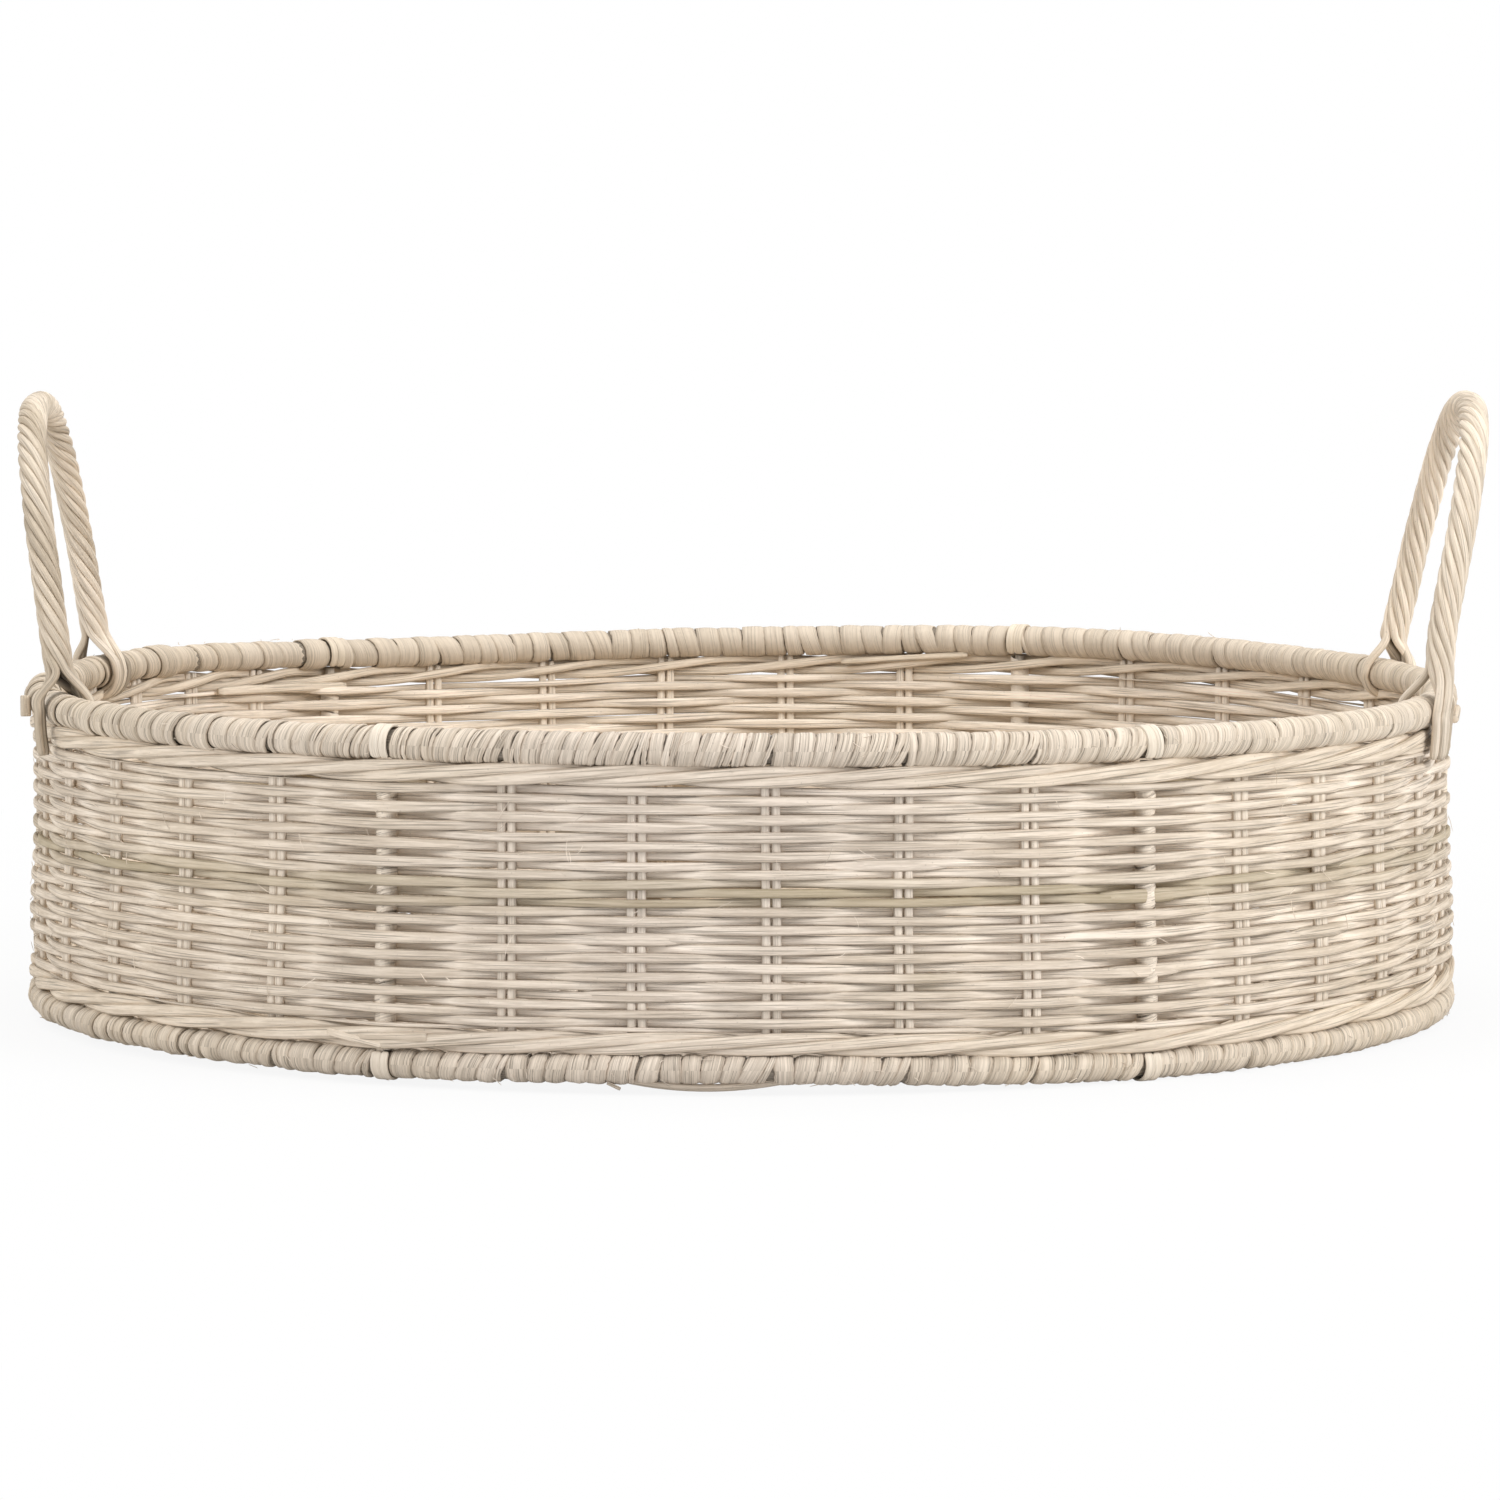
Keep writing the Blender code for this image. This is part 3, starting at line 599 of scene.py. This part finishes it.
def weaver_rods(first, strands):
    """The rods of one weaver, outside every second upright. Its own ends thin out along the wales."""
    last = first + (WEAVE_TOP - WEAVE_BOTTOM) / TURN_RISE * COUNT
    start, finish = float(first - COUNT // 2), last + COUNT // 2
    ends = (start, finish)
    while start < finish - 1:
        end = min(start + 2 * chance.integers(*HALF_ROD_BAYS), finish)
        if finish - end < 8:
            end = finish
        overlapped = (max(start - SPLICE_OVERLAP, ends[0]), min(end + SPLICE_OVERLAP, finish))
        samples = np.arange(overlapped[0], overlapped[1] + 1e-9, BAY_STEP)
        angle = angle_at(samples)
        low = np.floor(samples).astype(int)
        share = samples - low
        # Outside one upright and inside the next
        swings = []
        for upright in (low, low + 1):
            outside = np.where((upright + (first > 0)) % 2 == 0, 1.0, -1.0)
            swings.append(outside * (HALF_UPRIGHT[upright % COUNT] + WEAVER_DEPTH))
        wave = 0.5 * share + 0.25 * (1 - np.cos(np.pi * share))
        offset = swings[0] * (1 - wave) + swings[1] * wave
        # One rise for each turn. Past the first and last row it climbs half as fast and is thinner.
        height = WEAVE_BOTTOM + TURN_RISE * (angle - angle_at(first)) / TAU
        beyond = np.minimum(height - WEAVE_BOTTOM, 0.0) + np.maximum(height - WEAVE_TOP, 0.0)
        room = np.clip(1 - np.abs(beyond) / ROW_PITCH, 0.1, 1.0)
        height = height - 0.48 * beyond
        height = height + wander(angle, height) + 0.00010 * np.sin(samples * 2.1 + chance.uniform(0, TAU))
        # The hidden ends slip inwards beside the rod that goes on
        joined = np.zeros(len(samples))
        for joint, side in ((start, 1.0), (end, -1.0)):
            if ends[0] < joint < finish:
                near = smooth_step(1 - np.abs(samples - joint) / 1.2)
                offset, joined = offset - SPLICE_SLIP * near, joined + near
                height = height + SPLICE_LIFT * side * near
        fat = np.clip(chance.normal(1.0, 0.04), 0.93, 1.09)
        swell = 1 + 0.035 * np.sin(samples * 0.9 + chance.uniform(0, TAU))
        # Each float sits a little higher or lower, thicker or thinner and lighter or darker than the next
        stops = np.arange(math.floor(samples[0]), math.ceil(samples[-1]) + 1)
        jog, girth, shade = (np.interp(samples, stops, chance.normal(0, 1, len(stops))) for _ in range(3))
        beside_post = np.interp(samples, stops, IS_POST[stops % COUNT])
        height = height + FLOAT_JOG * np.clip(jog, -1.5, 1.5) * room * (1 - 0.6 * beside_post)
        tall = WEAVER_HEIGHT * fat * swell * room * (0.965 + 0.08 * np.cos(np.pi * share) ** 2)
        tall = tall * (1 + 0.045 * np.clip(girth, -2.0, 2.0) + 0.11 * beside_post + 0.10 * joined)
        path = polar(WALL_RADIUS + offset, angle, height)
        tone = chance.normal(-0.05, 0.4) + 0.3 * np.sin(samples * 0.31 + chance.uniform(0, TAU))
        # Painted light: the parts that pass inside the uprights are made paler, against the shade there. edge
        # paints shade along the rod's narrow sides.
        tone = tone + 2.8 * smooth_step(0.3 - offset / 0.0020) + 0.45 * shade
        out, tint = polar(1.0, angle, 0.0), aged(angle, height)
        strands.rod(path, WEAVER_DEPTH * fat, tall, out, 12, tone=tone, tint=tint, power=2.9, edge=4.7)
        start = end


def make_weavers():
    """Two weavers that wind up the wall in turn, with loose fibres."""
    for name, first in (("weaver_a", 0), ("weaver_b", COUNT // 2)):
        strands = Strands()
        weaver_rods(first, strands)
        for _ in range(WEAVER_HAIRS):
            place, length = chance.uniform(WEAVE_BOTTOM, WEAVE_TOP), chance.uniform(0.002, 0.008)
            angle = chance.uniform(0, TAU)
            strands.hair(angle, WALL_RADIUS + 0.0028, place, 0.0, length, WEAVER_HAIR_THICKNESS)
        dress(f"{name}_rods", strands, weaver_look, name)


def make_stakes():
    """Thin rods folded in half over the bottom hoop."""
    half = STAKE_SPREAD / 2
    fold = WALL_BOTTOM + STAKE_WIDTH
    legs = np.linspace(WALL_TOP, fold + half, 16)
    turn = np.linspace(0, math.pi, 9)[1:-1]
    across = np.concatenate((np.full(16, -half), -half * np.cos(turn), np.full(16, half)))
    height = np.concatenate((legs, fold + half - half * np.sin(turn), legs[::-1]))
    for number, angle in enumerate(ANGLES[~IS_POST], 1):
        strands = Strands()
        bow = 0.0002 * np.sin((height - WALL_BOTTOM) / (WALL_TOP - WALL_BOTTOM) * 5 + chance.uniform(0, TAU))
        out, along = wall_directions(angle)
        path = out * WALL_RADIUS + along * (across + bow)[:, None] + UP * height[:, None]
        # The folded legs are thicker at the two ends of the tray, with less painted shade along their sides
        # there. Every leg's tone is raised as painted light against the shade of the floats in front.
        wide, edge = (1.16, 0.5) if abs(math.cos(angle)) > THICK_STAKES_FROM else (1.02, 1.1)
        wide, tone = STAKE_WIDTH * wide, chance.normal(1.4, 0.35)
        strands.rod(path, STAKE_DEPTH, wide, out, 12, tone=tone, power=2.5, edge=edge)
        dress(f"stake_{number:02d}_rod", strands, stake_look, f"stake_{number:02d}")


def upright_axis(angle, height):
    """centre, out and over of a post, x metres above height."""
    out, along = wall_directions(angle)
    return (
        lambda x: out * WALL_RADIUS + UP * (x + height)[..., None],
        lambda x: np.broadcast_to(out, (*x.shape, 3)),
        lambda x: np.broadcast_to(along, (*x.shape, 3)),
    )


def make_posts():
    """Poles wound with peel."""
    for number, angle in enumerate(ANGLES[IS_POST], 1):
        strands = Strands()
        out = polar(1.0, angle, 0.0)
        path = out * WALL_RADIUS + UP * np.linspace(WALL_BOTTOM, WALL_TOP, 4)[:, None]
        core = POST_RADIUS - 0.0006
        strands.rod(path, core, core, out, 12, tone=0.5, power=2.0)
        place = WALL_BOTTOM + POST_BARE_END
        while place < WALL_TOP - POST_BARE_END:
            width = chance.uniform(*POST_TURN_WIDTH)
            # Pale turns, painted light against the shade of the rods in front, with painted shade along their
            # edges
            tone, edge = chance.normal(2.6, 0.5), chance.choice((0.2, 0.3, 0.9))
            slant = 0.0008 + chance.normal(0, 0.0003)
            axis = upright_axis(angle, place)
            strands.wrap(axis, POST_RADIUS + 0.0001, width * 1.04, slant, POST_PEEL, tone, edge, 16)
            place += width
        dress(f"post_{number}_winding", strands, peel_look, f"post_{number}")


# One rod of a wale, at every half step past three uprights: over two of them, rising, then behind the third
WALE_HEIGHTS = (-0.5, 0.0, 0.5, 0.62, 0.0, -0.62)
WALE_SWINGS = (1.0, 1.05, 1.0, 0.0, -1.0, 0.0)
WALE_SWELLS = (1.0, 1.04, 1.0, 0.78, 0.85, 0.78)
# Spliced rods whose cut ends show: first and last degree, heights there, reach from the wall, half height
# and tone
CUT_RODS = {
    "top_wale": (
        (143.5, 128.2, 0.0985, 0.0990, -0.0036, 0.0017, 0.8),
        (81.0, 69.2, 0.1030, 0.1056, -0.0036, 0.0012, -0.4),
    ),
    "bottom_wale": (
        (246.0, 240.2, 0.0150, 0.0140, 0.0040, 0.0017, -0.6),
        (237.4, 242.2, 0.0152, 0.0116, 0.0040, 0.0014, 0.2),
    ),
}


def make_wales():
    """Three rods wound together above and below the weave."""
    highest = WALL_TOP + 0.0004 - WALE_BAND / 2
    for name, middle in (("bottom_wale", WALL_BOTTOM + WALE_BAND / 2), ("top_wale", highest)):
        strands = Strands()
        samples = np.arange(0, COUNT, BAY_STEP)
        low = np.floor(samples).astype(int)
        share = samples - low
        half = HALF_UPRIGHT[low] * (1 - share) + HALF_UPRIGHT[(low + 1) % COUNT] * share
        angle = angle_at(samples)
        for rod in range(3):
            step = TAU * np.mod(samples + rod, 3) / 3
            swing = around(WALE_SWINGS, step) * (half + WALE_DEPTH)
            uneven = 0.8 * wander(angle, np.full_like(angle, middle + 0.002 * rod))
            height = middle + around(WALE_HEIGHTS, step) * WALE_CLIMB + uneven
            tall = WALE_HEIGHT * around(WALE_SWELLS, step) * (1 + 0.05 * np.sin(5 * angle + 2 * rod))
            path = polar(WALL_RADIUS + swing, angle, height)
            tone = 0.25 * np.sin(4 * angle + 2.1 * rod) + 0.4
            out = polar(1.0, angle, 0.0)
            # edge paints shade along each rod's narrow sides
            strands.rod(path, WALE_DEPTH, tall, out, 12, closed=True, tone=tone, power=2.9, edge=4.2)
        run = np.linspace(0, 1, 24)
        for start, end, start_z, end_z, reach, tall, tone in CUT_RODS[name]:
            turned = np.radians(start + (end - start) * run)
            path = polar(WALL_RADIUS + reach, turned, start_z + (end_z - start_z) * run)
            # edge paints shade along the cut rod's narrow sides
            strands.rod(path, 0.0011, tall, polar(1.0, turned, 0.0), 12, tone=tone, power=2.6, edge=2.6)
        dress(f"{name}_rods", strands, wale_look, name)


# Hoops, their windings and the straps at the posts


def hoop_axis(height, start):
    """centre, out and over of a hoop, x metres along it from an angle."""
    return (
        lambda x: polar(WALL_RADIUS, start + x / WALL_RADIUS, height),
        lambda x: polar(1.0, start + x / WALL_RADIUS, 0.0),
        lambda x: np.broadcast_to(UP, (*x.shape, 3)),
    )


# Ends of rods that show at a hoop: first and last degree, three heights, reach from the wall, radius, tone
STUBS = {
    "top_hoop": (
        ((190.2, 190.1), (0.1058, 0.1095, 0.1131), 0.0068, 0.0019, -0.4),
        ((353.0, 350.2), (0.1080, 0.1068, 0.1052), 0.0056, 0.0016, 0.6),
    ),
    "bottom_hoop": (
        ((261.0, 273.6), (0.0024, -0.0005, 0.0024), 0.0010, 0.00125, -1.8),
        ((260.0, 261.0), (0.0012, 0.0002, -0.0008), 0.0030, 0.0006, -3.5),
    ),
}


def make_hoop(name, height, radius, widths, slants, gaps, split, thickness):
    """A pole wound with peel. The slant grows within each bay, so a notch opens at each upright.

    split is the share of turns that are split into narrow ones along the frayed part of the front. It also
    sets how lumpy the winding is at the back left, and how dark the painted shade along the turns' edges is.
    """
    strands = Strands()
    angle = np.linspace(0, TAU, 180, endpoint=False)
    core, out = radius - POLE_DEPTH, polar(1.0, angle, 0.0)
    pole = polar(WALL_RADIUS, angle, height)
    strands.rod(pole, core, core, out, 12, closed=True, tone=GAP_SHADE_TONE, power=2.0)
    for index in range(COUNT):
        start, end = angle_at(index), angle_at(index + 1)
        frays = FRAYED_FROM < (start + end) / 2 < FRAYED_TO
        bay = (end - start) * WALL_RADIUS
        spent = STRAP_WIDTH / 2 + gaps[0] if IS_POST[index] else 0.0009 * (1 - split)
        if IS_POST[(index + 1) % COUNT]:
            bay -= STRAP_WIDTH / 2 + gaps[1]
        first = True
        while spent < bay - 0.0008:
            # Wider turns at the back, uneven ones at the left and lumps at the back left
            here = start + spent / WALL_RADIUS
            back = smooth_step(math.sin(here) / 0.4)
            left = smooth_step((-0.3 - math.cos(here)) / 0.3) * (1 - back)
            lumpy = split * smooth_step(1.6 - 4 * abs(here - LUMPS_ANGLE))
            width, uneven = chance.uniform(*widths), left * chance.uniform(-0.35, 0.75)
            width = width * (1 + 0.4 * back + 1.4 * lumpy + uneven)
            if frays and chance.random() < split:
                width = chance.uniform(*SPLIT_WIDTH)
            width = min(width, bay - spent)
            share = (spent + width / 2) / bay
            slant = slants[0] * (1 - share) + slants[1] * share + chance.normal(0, 0.0004)
            slant = slant + 0.0012 * split * frays
            place = start + (spent + width / 2) / WALL_RADIUS
            right = smooth_step((math.cos(place) - 0.35) / 0.3)
            swollen = radius + 0.0002 - thickness
            swollen = swollen + chance.normal(0, 0.00010 + 0.0011 * lumpy + 0.00012 * left)
            # Tone and painted shade of each turn: paler on the right, as painted light from the key lamp, and
            # darker at the back. Its edges get painted shade, darkest on the first turn after an upright,
            # where a notch opens, and weaker at the back and on the right.
            tone = chance.normal(0.0, 0.35) - 0.9 * back + 0.4 * right
            edge = 1.2 if first else chance.choice((0.4, 0.5, 0.65, 1.15)) * (0.45 + split)
            edge = edge * (1 - 0.65 * back) * (1 - 0.4 * right)
            strands.wrap(hoop_axis(height, place), swollen, width * 1.02, slant, thickness, tone, edge)
            spent += width
            first = False
    for _ in range(HOOP_HAIRS):
        lean, length = chance.uniform(-1.9, 1.6), chance.uniform(0.0012, 0.0045)
        reach, place = radius * math.cos(lean), height + radius * math.sin(lean)
        angle = chance.uniform(0, TAU)
        strands.hair(angle, WALL_RADIUS + reach, place, lean, length, HOOP_HAIR_THICKNESS)
    for degrees, heights, reach, thick, tone in STUBS[name]:
        run = np.linspace(0, 1, 16)
        angle = np.radians(degrees[0] + (degrees[1] - degrees[0]) * run)
        bend = heights[0] * (1 - run) * (1 - 2 * run) + heights[2] * run * (2 * run - 1)
        path = polar(WALL_RADIUS + reach, angle, bend + 4 * heights[1] * run * (1 - run))
        strands.rod(path, thick, thick, polar(1.0, angle, 0.0), 10, tone=tone, taper=0.1)
    dress(f"{name}_winding", strands, peel_look, name)


def make_straps():
    """Pale strips of peel, each over a hoop at a post, with its ends tucked beside the post."""
    for number, angle in enumerate(ANGLES[IS_POST], 1):
        for name, height, radius, facing in (
            ("top_band", TOP_HOOP_Z, TOP_HOOP_RADIUS, 1.0),
            ("bottom_band", BOTTOM_HOOP_Z, BOTTOM_HOOP_RADIUS, -1.0),
        ):
            strands = Strands()
            out, along = wall_directions(angle)
            # Two strips side by side, from outside round the hoop to inside
            lean = np.radians(np.linspace(-48, 228, 34))
            reach = radius + 0.0004
            path = out * (WALL_RADIUS + reach * np.cos(lean))[:, None]
            path = path + UP * (height + facing * reach * np.sin(lean))[:, None]
            for offset, share in ((-0.22, 0.29), (0.28, 0.23)):
                strip = path + along * (offset * STRAP_WIDTH)
                tone = chance.normal(0.4, 0.25) - 1.2 * (math.sin(angle) > 0)
                strands.rod(strip, STRAP_WIDTH * share, STRAP_HALF_THICKNESS, along, 12, tone=tone, power=4.0)
            dress(f"{name}_{number}_strap", strands, strap_look, f"{name}_{number}")


# Handles


def handle_axis(lean, rise, bows, steps_out):
    """Points along the rope's middle from the foot at +Y to the foot at -Y, and lengths from the nearer foot.

    The rope is that of the right handle, at +X. bows is how far the leg at +Y, the top and the leg at -Y
    stand further out than the slope, and steps_out is the same for the two feet.
    """
    turn = np.linspace(0, math.pi, 2401)
    power = 2 / HANDLE_SQUARENESS
    across = HANDLE_HALF_SPAN * np.sign(np.cos(turn)) * np.abs(np.cos(turn)) ** power
    slope = rise * np.abs(np.sin(turn)) ** power
    foot = math.sqrt(WALL_RADIUS**2 - HANDLE_HALF_SPAN**2)
    place = across / HANDLE_HALF_SPAN
    bow = np.interp(place, (-1.0, 0.0, 1.0), bows[::-1]) * smooth_step(slope / 0.035)
    bow = bow + np.where(place > 0, *steps_out) * smooth_step(1 - slope / 0.034)
    outward, height = foot + bow + slope * math.sin(lean), TOP_HOOP_Z + slope * math.cos(lean)
    curve = np.stack((outward, across, height), axis=-1)
    lengths = lengths_along(curve)
    steps = np.linspace(0, lengths[-1], 250)
    axis = np.stack([np.interp(steps, lengths, curve[:, k]) for k in range(3)], axis=-1)
    return axis, steps, np.minimum(steps, lengths[-1] - steps)


def rope_offsets(axis, steps, from_foot, facing):
    """Offset of each rod from the rope's middle. The twist stops a little above the hoop."""
    across = unit(np.cross(unit(np.gradient(axis, axis=0)), facing))
    rate = smooth_step((from_foot - TWIST_FROM) / TWIST_RUN)
    twist = np.cumsum(rate) * (steps[1] - steps[0])
    twist = twist - twist[len(twist) // 2]
    offsets = []
    for strand in range(STRANDS):
        turn = TAU * (strand + 0.5) / STRANDS - TAU * twist / LAY_LENGTH
        offsets.append(STRAND_CENTRE * (np.cos(turn)[:, None] * facing + np.sin(turn)[:, None] * across))
    return np.array(offsets)


def foot_slots(offsets, radial, tangent, inside):
    """(face, sideways, layer) for each rod at a foot: some pass inside the hoop and the others outside it."""
    outward, along = offsets @ radial, offsets @ tangent
    slots = [None] * STRANDS
    ranked = np.argsort(outward)
    for face, group in ((-1, ranked[:inside]), (1, ranked[inside:])):
        for slot, strand in enumerate(sorted(group, key=lambda s: along[s])):
            slots[strand] = (face, (slot - (len(group) - 1) / 2) * FAN_PITCH, FAN_LAYER * (slot % 2))
    return slots


def tail_path(face, sideways, radial, tangent, root, layer):
    """The end of one rod below the hoop's middle: down the wall outside, or curled under the hoop inside."""
    share = np.linspace(0, 1, 10)[1:]
    reach = BESIDE_HOOP + layer
    if face > 0:
        drop, reach = TAIL_DROP * share, reach - TAIL_PRESS * share**2
    else:
        curl = TAIL_CURL * share
        drop, reach = reach * np.sin(curl), reach * np.cos(curl)
    aside = sideways * (1 - 0.30 * share)
    return root + radial * (face * reach)[:, None] + tangent * aside[:, None] - UP * drop[:, None]


def make_handle(name, side, lean, rise, bows, steps_out, insides, tones):
    """Eight rods laid up as a rope, whose ends straddle the top hoop. side is 1 at +X and -1 at -X."""
    strands = Strands()
    axis, steps, from_foot = handle_axis(lean, rise, bows, steps_out)
    facing = np.array((math.cos(lean), 0.0, -math.sin(lean)))
    offsets = rope_offsets(axis, steps, from_foot, facing)
    shaped = axis[None] + offsets
    tails = {}
    for foot, end, inside, out in ((1, 0, insides[0], steps_out[0]), (-1, -1, insides[1], steps_out[1])):
        radial, tangent = wall_directions(math.atan2(axis[end, 1], axis[end, 0]))
        here = axis[:, 1] * foot > 0
        meet = np.argmin(np.abs(from_foot - FAN_SORTED_AT) + np.where(here, 0.0, 1.0))
        fan = (1 - smooth_step((from_foot - FAN_FROM) / FAN_RUN)) * here
        root = axis[end] - np.array((out, 0.0, 0.0))
        slots = foot_slots(offsets[:, meet], radial, tangent, inside)
        for strand, (face, sideways, layer) in enumerate(slots):
            goal = axis + radial * (face * (BESIDE_HOOP + layer) - out) + tangent * sideways
            shaped[strand] = shaped[strand] * (1 - fan[:, None]) + goal * fan[:, None]
            tails[strand, end] = tail_path(face, sideways, radial, tangent, root, layer)
    mirror = np.array((side, side, 1.0))
    for strand in range(STRANDS):
        path = np.concatenate((tails[strand, 0][::-1], shaped[strand], tails[strand, -1])) * mirror
        length = np.linspace(0, 1, len(path))
        size = STRAND_RADIUS * (1 + 0.04 * np.sin(21 * length + strand))
        tone = np.interp(length, (0.3, 0.7), tones) + chance.normal(0.0, 1.1)
        tone = tone + 0.4 * np.sin(9 * length + chance.uniform(0, TAU))
        reference = np.broadcast_to(facing * mirror, path.shape)
        spare = len(tails[strand, 0])
        away = unit(np.pad(offsets[strand], ((spare, spare), (0, 0)), mode="edge")) * mirror
        # Painted shade in the grooves, where each rod faces into the rope, weaker on the right handle towards
        # the key lamp
        strands.rod(path, size, size, reference, 16, tone=tone, power=2.1, edge=5.6 - 0.8 * side, away=away)
    dress(f"{name}_rods", strands, handle_look, name)


# Base


def woven_spiral(strands, inner, outer, pitch):
    """Two weavers that wind out from the middle, over one pair of spokes and under the next.

    Both run round the two rims, so that no wedge stays open there.
    """
    turns = (outer - inner) / (2 * pitch) + 2
    for weaver in (0, 1):
        samples = np.arange(0, turns * SPOKE_ARMS, 0.2)
        angle = SPOKE_START + TAU * samples / SPOKE_ARMS
        radius = np.clip(inner + pitch * (weaver - 2) + 2 * pitch * samples / SPOKE_ARMS, inner, outer)
        wave = np.clip(1.25 * np.cos(np.pi * (samples + weaver)), -1.0, 1.0)
        height = np.maximum(BASE_MIDDLE_Z + BASE_WEAVER_RISE * wave, BASE_LOWEST)
        path = polar(radius, angle, height)
        piece = len(samples) // 12
        for begin in range(0, len(samples) - 4, piece):
            part = path[begin : begin + piece + 3]
            tone = chance.normal(0, 0.4)
            # edge paints shade along the weaver's sides
            strands.rod(part, BASE_WEAVER_DEPTH, pitch * 0.52, UP, 8, tone=tone, edge=2.0)


def make_base():
    """Pairs of spokes, a tight middle with a coiled knot, and the wider field."""
    spokes = Strands()
    reach = np.linspace(0.002, BASE_RADIUS + 0.001, 40)
    spread = (0.0013 + 0.0012 * smooth_step(reach / 0.2))[:, None]
    for arm in range(SPOKE_ARMS):
        angle = SPOKE_START + TAU * arm / SPOKE_ARMS
        aside = wall_directions(angle)[1]
        for offset in (-1, 1):
            path = polar(reach, angle, BASE_MIDDLE_Z) + aside * offset * spread
            tone = chance.normal(-0.1, 0.4)
            spokes.rod(path, SPOKE_CANE_RADIUS, SPOKE_CANE_RADIUS, UP, 8, tone=tone, power=2.0)
    dress("base_spokes_rods", spokes, base_look, "base_spokes")
    hub = Strands()
    woven_spiral(hub, HUB_START, HUB_END, HUB_PITCH)
    coil = np.linspace(0, 4 * TAU, 200)
    knot = polar(0.0012 + 0.0019 * coil / TAU, coil, BASE_MIDDLE_Z + 0.0022)
    # edge paints shade along the knot's sides
    hub.rod(knot, SPOKE_CANE_RADIUS, 0.0011, UP, 8, tone=0.3, edge=2.0)
    dress("base_hub_weave", hub, base_look, "base_hub")
    mat = Strands()
    woven_spiral(mat, MAT_START, BASE_RADIUS, MAT_PITCH)
    dress("base_mat_weave", mat, base_look, "base_mat")


make_weavers()
make_stakes()
make_posts()
make_wales()
make_hoop("top_hoop", TOP_HOOP_Z, TOP_HOOP_RADIUS, *TOP_WINDING)
make_hoop("bottom_hoop", BOTTOM_HOOP_Z, BOTTOM_HOOP_RADIUS, *BOTTOM_WINDING)
make_straps()
make_handle("handle_right", 1, RIGHT_HANDLE_LEAN, HANDLE_RISE, *RIGHT_SHAPE)
make_handle("handle_left", -1, LEFT_HANDLE_LEAN, HANDLE_RISE - LEFT_HANDLE_DROP, *LEFT_SHAPE)
make_base()


# Floor, light and camera


def make_floor():
    """A pale floor that a camera sees as white away from the tray's own shadow."""
    n = Nodes("studio_floor")
    n.shader.inputs["Base Color"].default_value = (0.72, 0.72, 0.72, 1.0)
    n.shader.inputs["Roughness"].default_value = 0.9
    white = n.add("ShaderNodeEmission")
    white.inputs["Color"].default_value = (1.0, 1.0, 1.0, 1.0)
    away = n.add("ShaderNodeVectorMath", operation="LENGTH")
    n.link(n.add("ShaderNodeTexCoord").outputs["Object"], away.inputs[0])
    share = n.spread(away.outputs["Value"], 0.30, 0.80, 0.90, 1.0)
    seen = n.add("ShaderNodeLightPath").outputs["Is Camera Ray"]
    blend = n.add("ShaderNodeMixShader")
    n.link(n.math("MULTIPLY", seen, share), blend.inputs[0])
    n.link(n.shader.outputs[0], blend.inputs[1])
    n.link(white.outputs[0], blend.inputs[2])
    n.link(blend.outputs[0], n.tree.nodes["Material Output"].inputs["Surface"])
    mesh = bpy.data.meshes.new("studio_floor")
    corners = [(FLOOR_REACH * x, FLOOR_REACH * y, 0) for x, y in ((-1, -1), (1, -1), (1, 1), (-1, 1))]
    mesh.from_pydata(corners, [], [(0, 1, 2, 3)])
    mesh.materials.append(n.material)
    floor = bpy.data.objects.new("studio_floor", mesh)
    bpy.context.scene.collection.objects.link(floor)


def make_light():
    """Even light from all round, and three large soft lamps."""
    world = bpy.data.worlds.new("studio")
    bpy.context.scene.world = world
    world.use_nodes = True
    tree = world.node_tree
    soft, white = tree.nodes["Background"], tree.nodes.new("ShaderNodeBackground")
    soft.inputs["Color"].default_value = SKY_COLOUR
    soft.inputs["Strength"].default_value = SKY_STRENGTH
    white.inputs["Color"].default_value = (1.0, 1.0, 1.0, 1.0)
    white.inputs["Strength"].default_value = 1.0
    path, blend = tree.nodes.new("ShaderNodeLightPath"), tree.nodes.new("ShaderNodeMixShader")
    tree.links.new(path.outputs["Is Camera Ray"], blend.inputs[0])
    tree.links.new(soft.outputs[0], blend.inputs[1])
    tree.links.new(white.outputs[0], blend.inputs[2])
    tree.links.new(blend.outputs[0], tree.nodes["World Output"].inputs["Surface"])
    for name, place, size, watts in LAMPS:
        lamp = bpy.data.lights.new(name, "AREA")
        lamp.energy, lamp.size = watts, size
        light = bpy.data.objects.new(name, lamp)
        light.location = place
        light.rotation_euler = (LAMP_AIM - Vector(place)).to_track_quat("-Z", "Y").to_euler()
        bpy.context.scene.collection.objects.link(light)


def make_camera():
    """The photograph's view, from in front and a little above."""
    data = bpy.data.cameras.new("camera")
    data.sensor_width = CAMERA_SENSOR
    data.lens = CAMERA_LENS
    camera = bpy.data.objects.new("camera", data)
    camera.location = CAMERA_PLACE
    camera.rotation_euler = (math.radians(90.0 - CAMERA_TILT), 0.0, 0.0)
    bpy.context.scene.collection.objects.link(camera)
    bpy.context.scene.camera = camera


make_floor()
make_light()
make_camera()
bpy.context.scene.view_settings.view_transform = "Standard"
